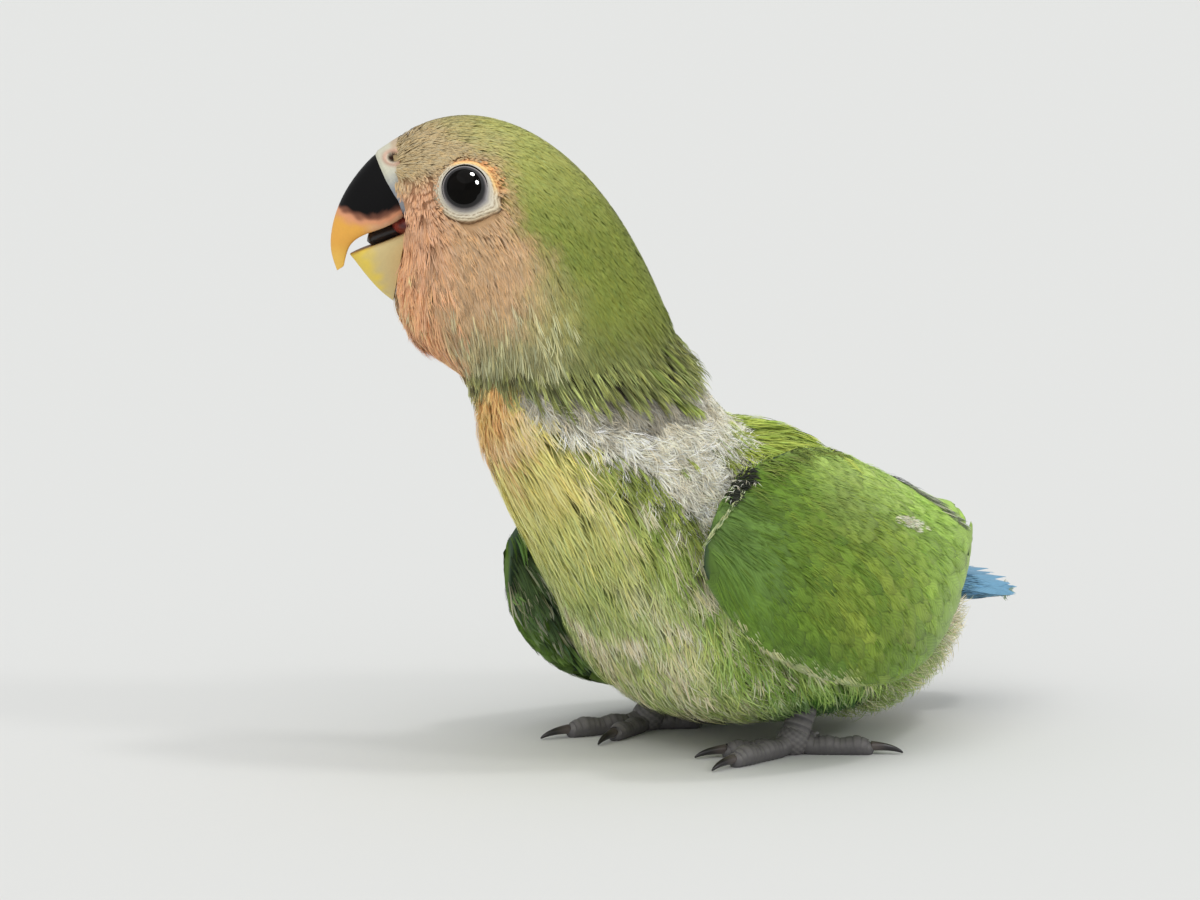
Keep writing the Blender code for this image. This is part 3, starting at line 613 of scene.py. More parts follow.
# Eyes. Wet black balls with a very dark brown iris, each set deep in a bare ring: a dark grey lid rim, a mid-grey
# fold, and a pale pebbled band that is broadest below and behind and runs out to a corner.
LID_OPENING = 2.66
EYE_BROWN = (0.003, 0.002, 0.002)
eye_material, eye_shader, eye_tree = plain_material("wet_eye", EYE_BROWN, 0.04, 0.06)
eye_noise = add_node(eye_tree, "ShaderNodeTexNoise", Scale=900.0, Detail=4.0)
eye_where = add_node(eye_tree, "ShaderNodeTexCoord")
eye_ramp = add_node(eye_tree, "ShaderNodeValToRGB")
eye_ramp.color_ramp.elements[0].color = (0.001, 0.001, 0.001, 1.0)
eye_ramp.color_ramp.elements[1].color = (0.004, 0.003, 0.002, 1.0)
eye_tree.links.new(eye_where.outputs["Object"], eye_noise.inputs["Vector"])
eye_tree.links.new(eye_noise.outputs["Fac"], eye_ramp.inputs["Fac"])
eye_tree.links.new(eye_ramp.outputs["Color"], eye_shader.inputs["Base Color"])
lid_material, lid_shader, lid_tree = tint_material("bare_lid", 0.5, 0.4, 0.10, 0.25, 0.05)


def eye_axes(side):
    """The direction an eye looks, square to the head's surface there, and two directions across it."""
    look = np.array([0.04, 1.0, 0.15])
    look /= np.linalg.norm(look)
    ahead = np.cross(look, (0.0, 0.0, 1.0))
    ahead /= np.linalg.norm(ahead)
    above = np.cross(ahead, look) * -1.0
    above *= np.sign(above[2])
    ahead *= np.sign(ahead[0])
    return [axis * (1.0, side, 1.0) for axis in (look, ahead, above)]


def round_grid(side, radius, height, turn):
    """Points at radii and heights about an eye's axis for turns from straight ahead upwards."""
    look, ahead, above = eye_axes(side)
    radius, height, turn = (np.asarray(part)[..., None] for part in (radius, height, turn))
    spot = look * height + ahead * radius * np.cos(turn) + above * radius * np.sin(turn)
    return from_head(*np.moveaxis(spot + (0.0, EYE_OUT * side, 0.0), -1, 0))


RING_TURN = np.arange(144) * 2.0 * np.pi / 144
RING_OUTER = np.interp(
    np.degrees(RING_TURN),
    (0, 45, 90, 135, 180, 200, 211, 222, 240, 270, 315, 360),
    (4.45, 3.95, 3.80, 4.10, 4.80, 5.20, 6.10, 5.30, 4.90, 4.80, 4.60, 4.45),
)
LID_PROFILE = (
    # share of the way out, height above the head, shade
    (-0.16, 0.00, paint(12, 11, 12)),
    (0.00, 0.10, paint(26, 25, 27)),
    (0.05, 0.18, paint(52, 50, 54)),
    (0.11, 0.14, paint(116, 113, 116)),
    (0.19, 0.00, paint(158, 154, 154)),
    (0.28, -0.06, paint(178, 172, 164)),
    (0.38, -0.04, paint(208, 200, 182)),
    (0.60, -0.04, paint(224, 214, 190)),
    (0.80, -0.14, paint(220, 206, 176)),
    (0.92, -0.36, paint(206, 182, 148)),
    (1.00, -0.80, paint(186, 156, 124)),
    (1.06, -1.40, paint(160, 130, 102)),
)


def head_swell(side):
    """The head's surface round an eye as heights over the eye's own plane: the quadratic in the two directions
    across it that fits the flesh best."""
    look, ahead, above = eye_axes(side)
    u, v = np.meshgrid(np.linspace(12.0, 16.2, 90), np.linspace(0.5, 6.5, 90), indexing="ij")
    seen = np.stack(in_head(sheet_at(FLESH, u, np.mod(v * side, 16.0))[0]), -1).reshape(-1, 3) - (0.0, EYE_OUT * side, 0.0)
    x, y, z = seen @ ahead, seen @ above, seen @ look
    near = np.hypot(x, y) < 6.5
    terms = np.stack([1 + 0 * x, x, y, x * x, x * y, y * y], 1)
    fit = np.linalg.lstsq(terms[near], z[near], rcond=None)[0]
    return lambda x, y: np.stack([1 + 0 * x, x, y, x * x, x * y, y * y], -1) @ fit


for side_name, side in (("left", 1.0), ("right", -1.0)):
    bow = np.linspace(0.03, np.pi - 0.03, 49)
    turn = np.arange(64) * 2.0 * np.pi / 64
    bow, turn = np.meshgrid(bow, turn, indexing="ij")
    ball = round_grid(side, EYE_RADIUS * np.sin(bow), EYE_RADIUS * np.cos(bow), turn)
    make_piece(
        f"eyeball_{side_name}", capped(ball), grid_faces(49, 64, flip=side > 0), eye_material,
        stands_for=(f"eye_{side_name}",),
    )
    eyes_only.objects.link(bpy.data.objects[f"eyeball_{side_name}"])
    share = np.linspace(-0.16, 1.06, 44)
    table = np.array([row[0] for row in LID_PROFILE])
    lift = np.interp(share, table, [row[1] for row in LID_PROFILE])
    shade = np.stack([np.interp(share, table, [row[2][k] for row in LID_PROFILE]) for k in range(3)], 1)
    across, turn = np.meshgrid(share, RING_TURN, indexing="ij")
    radius = LID_OPENING + across * (RING_OUTER[None, :] - LID_OPENING)
    opening = np.sqrt(EYE_RADIUS**2 - LID_OPENING**2)
    pebble = 0.075 * np.sin(turn * 34.0 + 3.0 * np.sin(across * 31.0)) * np.sin(across * 40.0 + 2.0 * np.sin(turn * 9.0))
    pebble = pebble + 0.07 * np.sin(across * 30.0 + 1.5 * np.sin(turn * 3.0) + 0.6 * np.sin(turn * 11.0))
    on_head = head_swell(side)(radius * np.cos(turn), radius * np.sin(turn))
    on_ball = np.sqrt(EYE_RADIUS**2 - np.minimum(radius, 3.1) ** 2)
    height = on_ball + (on_head - on_ball) * ramp(radius, 2.9, 4.2) + lift[:, None]
    height = height + pebble * ramp(across, 0.35, 0.55) * ramp(-across, -0.95, -0.85)
    ring = round_grid(side, radius, height, turn)
    colour = np.repeat(shade[:, None, :], 144, 1)
    # painted shade: the pebbled band is darker and browner in the dips of its relief
    colour = mixed(colour, colour * (0.55, 0.48, 0.42), ramp(-pebble, -0.01, 0.09) * ramp(across, 0.38, 0.5))
    arc = ramp(across, 0.50, 0.62) * ramp(turn, 0.8, 1.3) * ramp(-turn, -3.45, -3.0)
    colour = mixed(colour, mixed(BROW, ORANGE, ramp(across, 0.72, 0.95)), 0.9 * arc)
    corner = np.exp(-(((turn - np.radians(211.0)) / 0.10) ** 2)) * ramp(radius, 5.3, 5.9)
    colour = mixed(colour, paint(58, 46, 40), corner)
    faces = grid_faces(44, 144, flip=side < 0)
    faces = faces[(faces < 44 * 144).all(1)]
    make_piece(f"eye_ring_{side_name}", ring.reshape(-1, 3), faces, lid_material, colour=colour.reshape(-1, 3))


# Bill. Horn over bone: the upper half is black with an amber hook, the lower half yellow with a horn-coloured
# side. A bare swollen cere with the nostrils sits at its root, and a blunt dark tongue lies in a dark red mouth.
UPPER_BILL = (
    ((10.8, 5.1), (8.3, -3.9), 5.0), ((12.8, 3.8), (8.8, -4.4), 4.9), ((15.6, 0.6), (10.4, -5.4), 4.5),
    ((17.6, -2.9), (12.5, -6.2), 3.7), ((18.6, -6.5), (14.5, -6.9), 2.7), ((18.7, -9.3), (16.3, -8.3), 1.5),
    ((17.8, -11.8), (16.9, -11.2), 0.6),
)
LOWER_BILL = (
    ((8.2, -6.4), (10.1, -15.8), 4.2), ((10.7, -7.5), (11.8, -14.6), 4.0), ((13.2, -8.4), (13.4, -12.9), 3.3),
    ((15.0, -9.0), (14.7, -11.3), 2.0), ((16.0, -9.5), (15.6, -10.1), 0.8),
)
BLACK_EDGE = ((22.0, -1.4), (17.1, -3.0), (15.5, -3.7), (14.1, -4.1), (12.1, -4.1), (10.7, -3.5), (8.9, -2.6), (6.0, -1.6))
CERE_EDGE = ((13.6, 6.0), (12.5, 3.7), (11.1, 0.8), (9.9, -1.2), (8.9, -2.6), (8.0, -4.6))
NOSTRIL = (9.9, 3.6, 3.9)
HORN_BLACK, HORN_BROWN, HORN_AMBER, HORN_PALE = paint(13, 12, 13), paint(112, 72, 58), paint(240, 178, 84), paint(236, 206, 168)


def bill_sheet(sections, arch_up):
    """The bill's rings: an arch over the two cutting edges and a flat side between them, in the head's frame."""
    gain = ring_gain(12)
    arch = np.pi * (np.arange(9) / 8.0 - 0.5)
    flat = 1.0 - 2.0 * np.arange(1, 4) / 4.0
    rings = []
    for top, bottom, half_width in sections:
        up, down = np.array([top[0], 0.0, top[1]]), np.array([bottom[0], 0.0, bottom[1]])
        crest, edge = (up, down) if arch_up else (down, up)
        across = np.concatenate([np.sin(arch), flat]) * half_width * gain
        rise = np.concatenate([np.cos(arch), 0 * flat]) * gain
        rings.append(edge + rise[:, None] * (crest - edge) + across[:, None] * (0.0, 1.0, 0.0))
    return with_ends(np.array(rings)), (1.0 if arch_up else -1.0)


def lofted(sheet, low, high, rows, columns, swell=0.0):
    """A grid over part of a sheet in the head's frame, moved out along its normals by swell."""
    u, v = np.meshgrid(np.linspace(low, high, rows), np.arange(columns) * 12.0 / columns, indexing="ij")
    point, _, _, normal = sheet_at(sheet, u, v)
    return point + normal * (swell if np.isscalar(swell) else swell(point, u)[..., None]), u, v


horn_material, horn_shader, horn_tree = tint_material("bill_horn", 0.46, 0.10, 0.06, 0.5, 0.03)
upper_sheet = bill_sheet(UPPER_BILL, True)
lower_sheet = bill_sheet(LOWER_BILL, False)
spot, u, v = lofted(upper_sheet, 0.3, 6.0, 150, 120, lambda p, u: 0.004 * np.sin(u * 26.0) * ramp(u, 0.8, 2.0))
ahead, high = spot[..., 0], spot[..., 2]
uneven = mottle(spot, 1.6, 21)
below = beyond(BLACK_EDGE, ahead, high) * -1.0 + 0.22 * uneven
colour = mixed(HORN_BLACK, HORN_BROWN, ramp(below, -0.45, 0.1))
colour = mixed(colour, paint(226, 158, 120), ramp(below, 0.0, 0.7))
colour = mixed(colour, HORN_AMBER, ramp(below, 0.5, 2.2) * ramp(ahead, 10.5, 14.5))
colour = mixed(colour, paint(244, 196, 96), ramp(-high, 7.5, 10.5))
colour = mixed(colour, HORN_PALE, 0.8 * ramp(below, 0.8, 1.8) * ramp(-ahead, -14.5, -11.0))
colour = np.concatenate([colour.reshape(-1, 3), colour[0, :1], colour[-1, :1]])
make_piece(
    "upper_bill", from_head(*capped(spot).T), grid_faces(150, 120, flip=True), horn_material,
    colour=colour, stands_for=("bill_upper",),
)
spot, u, v = lofted(lower_sheet, 0.0, 4.0, 110, 120)
ahead, high = spot[..., 0], spot[..., 2]
uneven = mottle(spot, 2.2, 22)
colour = mixed(paint(214, 194, 140), paint(236, 208, 96), ramp(ahead - 0.30 * high + 0.5 * uneven, 14.5, 17.0))
colour = mixed(colour, paint(120, 66, 48), 0.75 * ramp(-np.abs(spot[..., 1]), -2.6, -1.6) * ramp(high - 0.35 * ahead * -1.0, -4.4, -3.6))
colour = np.concatenate([colour.reshape(-1, 3), colour[0, :1], colour[-1, :1]])
make_piece(
    "lower_bill", from_head(*capped(spot).T), grid_faces(110, 120, flip=False), horn_material,
    colour=colour, stands_for=("bill_lower",),
)


def cere_swell(point, u):
    """The cere stands proud of the horn, sinks to it at its front edge, and is dented at each nostril."""
    front = beyond(CERE_EDGE, point[..., 0], point[..., 2])
    hole = np.hypot((point[..., 0] - NOSTRIL[0]) / 0.95, (point[..., 2] - NOSTRIL[2]) / 0.70)
    hole = hole + 9.0 * (np.abs(point[..., 1]) < 1.0)
    rim = 0.16 * np.exp(-((hole - 1.25) ** 2) / 0.12)
    return 0.26 * ramp(-front * -1.0, 0.0, 0.8) - 0.05 + rim - 1.1 * ramp(-hole, -0.95, -0.35)


cere_material, cere_shader, cere_tree = tint_material("cere_skin", 0.48, 0.4, 0.10, 0.35, 0.06)
spot, u, v = lofted(upper_sheet, -0.75, 1.55, 120, 160, cere_swell)
ahead, out, high = (spot[..., k] for k in range(3))
uneven = mottle(spot, 1.2, 23)
colour = mixed(paint(150, 156, 164), paint(206, 203, 182), ramp(high + 0.4 * uneven, -1.0, 2.4))
colour = mixed(colour, paint(190, 160, 128), 0.7 * ramp(-ahead + 0.3 * high, -9.2, -8.2))
hole = np.hypot((ahead - NOSTRIL[0]) / 0.95, (high - NOSTRIL[2]) / 0.70) + 9.0 * (np.abs(out) < 1.0)
colour = mixed(colour, paint(202, 150, 128), 0.7 * np.exp(-((hole - 1.3) ** 2) / 0.16))
# painted shade: the inside of each nostril's dent is dark
colour = mixed(colour, paint(70, 46, 40), ramp(-hole, -1.0, -0.55))
front = beyond(CERE_EDGE, ahead, high)
colour = np.concatenate([colour.reshape(-1, 3), colour[0, :1], colour[-1, :1]])
faces = grid_faces(120, 160, flip=True)
kept = (np.concatenate([front.ravel(), [9.0, -9.0]]) > -0.12)[faces].all(1)
make_piece("cere_and_nostrils", from_head(*capped(spot).T), faces[kept], cere_material, colour=colour, stands_for=("cere",))

TONGUE_ROOT, TONGUE_TIP, TONGUE_RADIUS = np.array([8.0, 0.0, -5.9]), np.array([13.7, 0.0, -7.8]), 1.2
tongue_material, tongue_shader, tongue_tree = tint_material("tongue_skin", 0.35, 0.5, 0.15, 0.4, 0.08)


def rod(root, tip, radius, shares, girths, rows, columns, high=0.85, wide=1.25, bow=0.0):
    """A round-ended rod with the girth given along its length, in the head's frame."""
    share = 1.0 - (1.0 - np.linspace(0.0, 1.0, rows)) ** 1.7
    turn = np.arange(columns) * 2.0 * np.pi / columns
    girth = np.interp(share, shares, girths) * np.sqrt(np.clip(1.0 - ramp(share, 0.8, 1.0) ** 2, 0.0, 1.0)) * radius
    along = tip - root
    above = np.cross(along, (0.0, 1.0, 0.0))
    above /= -np.linalg.norm(above) * np.sign(above[2]) * -1.0
    centre = root + share[:, None] * along + above * (bow * share * (1.0 - share))[:, None]
    return (
        centre[:, None]
        + above * (girth[:, None] * high * np.cos(turn))[..., None]
        + np.array([0.0, 1.0, 0.0]) * (girth[:, None] * wide * np.sin(turn))[..., None]
    )


tongue = rod(TONGUE_ROOT, TONGUE_TIP, TONGUE_RADIUS, (0, 0.35, 0.7, 1.0), (1.0, 1.0, 1.06, 1.0), 48, 40, bow=1.0)
shade = mixed(paint(74, 44, 42), paint(40, 36, 38), ramp(tongue[..., 0], 8.5, 10.5)).reshape(-1, 3)
make_piece(
    "tongue_flesh", from_head(*capped(tongue).T), grid_faces(48, 40, flip=True), tongue_material,
    colour=np.concatenate([shade, shade[:1], shade[-1:]]), stands_for=("tongue",),
)
bow, turn = np.meshgrid(np.linspace(0.05, np.pi - 0.05, 33), np.arange(48) * 2.0 * np.pi / 48, indexing="ij")
lining = np.stack([8.0 + 2.3 * np.cos(bow), 4.1 * np.sin(bow) * np.cos(turn), -5.15 - 0.25 * np.cos(bow) + 1.7 * np.sin(bow) * np.sin(turn)], -1)
shade = mixed(GAPE_RED, paint(150, 62, 54), 0.5 + 0.5 * mottle(lining, 1.5, 24)).reshape(-1, 3)
make_piece(
    "mouth_lining", from_head(*capped(lining).T), grid_faces(33, 48, flip=False), tongue_material,
    colour=np.concatenate([shade, shade[:1], shade[-1:]]),
)


# Feet. Each has two toes ahead and two behind on a rounded ball, clad in grey scutes above and soft pads below,
# with dark curved claws. The shank goes up into the belly feathers.
FEET = {"left": (12.5, 2.5), "right": (-14.0, -2.5)}
TOES = {"inner_front": (-22, 10.5, 1.40), "outer_front": (10, 13.5, 1.55), "outer_rear": (140, 11.5, 1.50), "inner_rear": (-150, 7.5, 1.35)}
TOE_SHAPE = ((0, 1.0), (0.25, 0.88), (0.42, 1.0), (0.58, 0.86), (0.78, 1.0), (0.92, 0.8), (1.0, 0.5))
SOLE_DEPTH, BALL_RADIUS, BALL_HIGH, SHANK_RADIUS = 0.3, 2.35, 1.95, 2.0
CLAW_LENGTH, CLAW_RADIUS, CLAW_POINT, CLAW_BEND, CLAW_HIGH, CLAW_DROP, CLAW_GAP = 3.7, 0.72, 0.18, 1.1, 1.2, 0.95, 0.3
foot_material, foot_shader, foot_tree = tint_material("foot_scutes", 0.55, 0.4, 0.16, 0.5, 0.10)
claw_material, claw_shader, claw_tree = tint_material("claw_horn", 0.28, 0.5, 0.08, 0.5, 0.02)


def tube(line, radius, columns, high=1.0):
    """Rings of these radii about a line of points, each square to the line, made from its slope and the vertical."""
    slope = np.gradient(line, axis=0)
    slope /= np.linalg.norm(slope, axis=1)[:, None]
    side = np.cross(slope, (0.0, 0.0, 1.0))
    lost = np.linalg.norm(side, axis=1) < 0.2
    side[lost] = (0.0, 1.0, 0.0)
    side /= np.linalg.norm(side, axis=1)[:, None]
    above = np.cross(side, slope)
    turn = np.arange(columns) * 2.0 * np.pi / columns
    return line[:, None] + radius[..., None] * (side[:, None] * np.sin(turn)[:, None] + above[:, None] * np.cos(turn)[:, None] * high), turn


def foot_pieces(side_name):
    """Scaled rods for the shank and toes, a ball and the claws: scutes are steps of girth along each toe's top."""
    side = 1.0 if side_name == "left" else -1.0
    middle = np.array([*FEET[side_name], 0.0]) + STAND
    flesh, horn = [], []
    share = np.linspace(0.0, 1.0, 90)
    for toe, (angle, length, girth) in TOES.items():
        heading = np.radians(angle) * side
        way = np.array([np.sin(heading), -np.cos(heading), 0.0])
        radius = np.interp(share, *zip(*TOE_SHAPE)) * girth
        height = radius - SOLE_DEPTH
        height[share < 0.25] = np.interp(share[share < 0.25], (0.0, 0.25), (BALL_HIGH, height[np.argmin(np.abs(share - 0.25))]))
        height[share > 0.92] = np.interp(share[share > 0.92], (0.92, 1.0), (height[np.argmin(np.abs(share - 0.92))], CLAW_HIGH))
        line = middle + way * (share * length)[:, None] + np.array([0.0, 0.0, 1.0]) * height[:, None]
        rounded = radius * np.sqrt(np.clip(1.0 - ramp(share, 0.9, 1.0) ** 3 * 0.8, 0.0, 1.0))
        turn = np.arange(40) * 2.0 * np.pi / 40
        scute = np.mod(share * length / 0.95, 1.0)[:, None]
        top = ramp(np.cos(turn), -0.2, 0.5)[None, :]
        pad = ramp(-np.cos(turn), 0.2, 0.7)[None, :]
        relief = 0.10 * (1.0 - scute**3) * top + 0.07 * np.abs(np.sin(share * length * 3.2))[:, None] * pad * np.abs(np.cos(turn * 5.0))
        rings, _ = tube(line, rounded[:, None] * (1.0 - 0.05) + relief * ramp(-share, -0.99, -0.9)[:, None], 40)
        rings[..., 2] = np.maximum(rings[..., 2], 0.0)
        tone = (0.75 + 0.45 * (1.0 - scute**2) * top) * (1.0 - 0.12 * pad)
        flesh.append((capped(rings), grid_faces(90, 40, flip=True), mixed(paint(84, 82, 84), paint(128, 124, 122), np.clip(tone - 0.5, 0, 1))))
        grow = np.linspace(0.0, 1.0, 26)
        reach = CLAW_GAP * 0.0 - 0.5 + (CLAW_LENGTH + 0.8) * np.sin(grow * CLAW_BEND) / np.sin(CLAW_BEND)
        claw = line[-1] + way * reach[:, None] - np.array([0.0, 0.0, 1.0]) * (CLAW_DROP * grow**2)[:, None]
        rings, _ = tube(claw, (CLAW_RADIUS * (1.0 - grow) ** 0.8 + 0.10 * grow)[:, None] * np.ones((1, 16)), 16)
        horn.append((capped(rings), grid_faces(26, 16, flip=True), mixed(paint(92, 84, 80), paint(38, 35, 36), ramp(grow, 0.0, 0.5))[:, None, :] * np.ones((1, 16, 1))))
    ankle = middle + (0.0, 0.0, BALL_HIGH)
    top = ankle + (-1.5 * side, 7.0, 13.0)
    line = ankle + (top - ankle) * share[:, None]
    turn = np.arange(40) * 2.0 * np.pi / 40
    scute = np.mod(share * 14.0, 1.0)[:, None]
    rings, _ = tube(line, SHANK_RADIUS * (0.92 + 0.08 * (1.0 - scute**3)) * np.ones((1, 40)), 40)
    flesh.append((capped(rings), grid_faces(90, 40, flip=True), mixed(paint(92, 90, 92), paint(128, 124, 122), (1.0 - scute) * np.ones((1, 40)))))
    bow, turn = np.meshgrid(np.linspace(0.05, np.pi - 0.05, 30), np.arange(48) * 2.0 * np.pi / 48, indexing="ij")
    bumps = 1.0 + 0.03 * np.sin(turn * 11.0) * np.sin(bow * 15.0)
    ball = ankle + BALL_RADIUS * bumps[..., None] * np.stack([np.sin(bow) * np.cos(turn), np.sin(bow) * np.sin(turn), np.cos(bow)], -1)
    ball[..., 2] = np.maximum(ball[..., 2], 0.0)
    flesh.append((capped(ball), grid_faces(30, 48, flip=False), mixed(paint(92, 90, 92), paint(128, 124, 122), 0.5 + 0.5 * (bumps - 1.0) / 0.03)))
    return flesh, horn


def joined(parts):
    """Several meshes' points, faces and colours in one, the poles taking the colour of the ring beside them."""
    points, faces, colours, start = [], [], [], 0
    for part_points, part_faces, part_colour in parts:
        shade = part_colour.reshape(-1, 3)
        points.append(part_points)
        faces.append(part_faces + start)
        colours.append(np.concatenate([shade, shade[:1], shade[-1:]]))
        start += len(part_points)
    return np.concatenate(points), np.concatenate(faces), np.concatenate(colours)


for side_name in ("left", "right"):
    flesh, horn = foot_pieces(side_name)
    points, faces, colour = joined(flesh)
    make_piece(f"foot_{side_name}", points, faces, foot_material, colour=colour, stands_for=(f"leg_{side_name}",))
    points, faces, colour = joined(horn)
    make_piece(
        f"claws_{side_name}", points, faces, claw_material, colour=colour,
        stands_for=[f"claw_{toe}_{side_name}" for toe in TOES],
    )


# Head plumage. Short soft contour feathers lie flat from the cere back over the crown, and hair-like ones run down
# the face and cheeks, shortest beside the bill and eyes. Each tuft's blades grow from the skin and hug the head.
def scattered(sheet, u_range, v_range, per_square, seed, allowed=None):
    """Root places spread evenly over part of a sheet: a low-discrepancy sequence thinned by area and density."""
    last = np.array([u_range[0], v_range[0]])
    span = np.array([u_range[1] - u_range[0], v_range[1] - v_range[0]])
    probe = (np.stack(np.meshgrid(np.linspace(0, 1, 40), np.linspace(0, 1, 40)), -1).reshape(-1, 2)) * span + last
    _, slope_u, slope_v, _ = sheet_at(sheet, probe[:, 0], probe[:, 1])
    largest = np.linalg.norm(np.cross(slope_u, slope_v), axis=1).max()
    peak = per_square if np.isscalar(per_square) else per_square[1]
    count = int(largest * peak * span[0] * span[1])
    order = np.arange(1, count + 1)[:, None]
    places = np.mod(order * (0.7548776662466927, 0.5698402909980532) + 0.5, 1.0) * span + last
    point, slope_u, slope_v, _ = sheet_at(sheet, places[:, 0], places[:, 1])
    density = per_square if np.isscalar(per_square) else per_square[0](point, places[:, 0], places[:, 1])
    chance = np.linalg.norm(np.cross(slope_u, slope_v), axis=1) * density / (largest * peak)
    kept = np.random.default_rng(seed).uniform(0.0, 1.0, count) < chance
    if allowed is not None:
        kept &= allowed(point, places[:, 0], places[:, 1])
    return places[kept]


def rooted(sheet, places, heading):
    """Each root's point, its directions along, across and out, and a millimetre along or across in the sheet's
    own numbers, from the inverse of the surface's metric."""
    point, slope_u, slope_v, out = sheet_at(sheet, places[:, 0], places[:, 1])
    along = heading - out * (heading * out).sum(-1)[:, None]
    along /= np.linalg.norm(along, axis=1)[:, None] + 1e-9
    across = np.cross(out, along)
    e, f, g = ((a * b).sum(-1) for a, b in ((slope_u, slope_u), (slope_u, slope_v), (slope_v, slope_v)))
    area = e * g - f * f + 1e-9

    def steps(way):
        a, b = (slope_u * way).sum(-1), (slope_v * way).sum(-1)
        return np.stack([(g * a - f * b) / area, (e * b - f * a) / area], -1)

    return point, along, across, out, steps(along), steps(across)


def bake_place(sheet, places, corner=(0.0, 0.0), size=1.0):
    """Each root's place on the unwrap of its sheet, which fills a square of this size at this corner."""
    last, around = sheet[0].shape[0] - 3, sheet[0].shape[1]
    unwrapped = np.stack([places[:, 0] / last, np.mod(places[:, 1] / around, 1.0)], 1)
    return np.clip(unwrapped, 0.0, 1.0) * 0.98 * size + 0.01 * size + np.array(corner)


BAKE_PATCH = 0.003
FLOOR_CLEAR = 0.15


def strands(sheet, places, heading, seed, length, width, colour, root_colour, count=4, spread=0.35, clump=0.4, narrow=1.0,
            stagger=0.15, arch=0.0, depth=0.8, rise=0.1, cling=1.0, curl=0.0, wander=0.1, steps=3, roll=25.0, vary=0.12,
            tint_from=0.0, corner=(0.0, 0.0), size=1.0):
    """Tufts of pointed blades. A blade's middle line is the sheet at its root's place plus so many millimetres
    along and across, lifted out of the skin by one less the square of what is left of it. Across, a tuft is as
    wide as its spread times a profile that opens from narrow and closes by clump; its middle stands up by arch."""
    draw = np.random.default_rng(seed)
    n = len(places)
    fields = (length, width, spread, depth, rise, cling, curl, clump, narrow, arch)
    fields = [np.broadcast_to(np.asarray(value, float), n)[:, None, None] for value in fields]
    length, width, spread, depth, rise, cling, curl, clump, narrow, arch = fields
    point, along, across, out, along_step, across_step = rooted(sheet, places, heading)
    shape = (n, count, 1)
    s = np.linspace(0.0, 1.0, steps + 1)[None, None, :]
    start = draw.uniform(0.0, 1.0, shape) * stagger
    far = start + draw.uniform(0.80, 1.06, shape) * (1.0 - start * 0.75) * s
    reach = length * far
    place = draw.uniform(-1.0, 1.0, shape)
    bend = draw.normal(0.0, 1.0, shape) * wander + curl * draw.uniform(-1.0, 1.0, shape)
    form = (narrow + (1.0 - narrow) * ramp(far, 0.0, 0.5)) * (1.0 - clump * ramp(far, 0.45, 1.1))
    aside = place * spread * form + bend * length * s**2
    path = places[:, None, None, :] + along_step[:, None, None, :] * reach[..., None] + across_step[:, None, None, :] * aside[..., None]
    on_sheet, _, _, normal = sheet_at(sheet, path[..., 0], path[..., 1])
    top = rise * draw.uniform(0.5, 1.4, shape)
    lift = -depth + (top + depth) * (1.0 - (1.0 - np.minimum(far, 1.0)) ** 2) - arch * place**2 * ramp(far, 0.1, 0.5)
    line = on_sheet + normal * lift[..., None]
    straight = (
        point[:, None, None] + along[:, None, None] * reach[..., None]
        + across[:, None, None] * aside[..., None] + out[:, None, None] * lift[..., None]
    )
    line = cling[..., None] * line + (1.0 - cling[..., None]) * straight
    slope = np.gradient(line, axis=2)
    side = np.cross(normal, slope)
    side /= np.linalg.norm(side, axis=-1)[..., None] + 1e-9
    tilt = np.radians(roll) * draw.normal(0.0, 1.0, shape)[..., None] - (2.0 * arch * place / spread)[..., None]
    side = side * np.cos(tilt) + normal * np.sin(tilt)
    girth = width / 2 * (0.55 + 0.9 * s - 0.75 * s**2) * draw.uniform(0.75, 1.25, shape)
    edge = side * girth[..., None]
    stations = np.stack([line[:, :, :-1] + edge[:, :, :-1], line[:, :, :-1] - edge[:, :, :-1]], 3).reshape(n, count, 2 * steps, 3)
    points = np.concatenate([stations, line[:, :, -1:]], 2)
    points[..., 2] = np.maximum(points[..., 2], FLOOR_CLEAR)
    each = 2 * steps + 1
    blade = []
    for k in range(steps - 1):
        blade += [(2 * k, 2 * k + 1, 2 * k + 3), (2 * k, 2 * k + 3, 2 * k + 2)]
    blade.append((2 * steps - 2, 2 * steps - 1, 2 * steps))
    faces = (np.arange(n * count)[:, None, None] * each + np.array(blade)[None]).reshape(-1, 3)
    tone = 1.0 + vary * draw.normal(0.0, 1.0, (n, count, 1, 1)) + 0.4 * vary * draw.normal(0.0, 1.0, (n, 1, 1, 1))
    warm = 1.0 + 0.05 * draw.normal(0.0, 1.0, (n, count, 1, 1)) * np.array([1.0, 0.2, -1.2])
    share = np.concatenate([np.repeat(far[:, :, :-1], 2, axis=2), far[:, :, -1:]], 2)
    shown = ramp(share, tint_from - 0.05, tint_from + 0.5)[..., None]
    shade = root_colour[:, None, None] + (colour - root_colour)[:, None, None] * shown
    shade = np.clip(shade * tone * warm, 0.0, 1.0).reshape(-1, 3)
    local = np.append(np.repeat(s[0, 0, :-1], 2), 1.0)
    patch = np.stack(np.broadcast_arrays((np.arange(count)[:, None] + 0.5) / count - 0.5, local[None, :] - 0.5), -1) * BAKE_PATCH
    bake = (bake_place(sheet, places, corner, size)[:, None, None] + patch[None]).reshape(-1, 2)
    return {"points": points.reshape(-1, 3), "faces": faces, "colour": shade, "OFBake": bake}


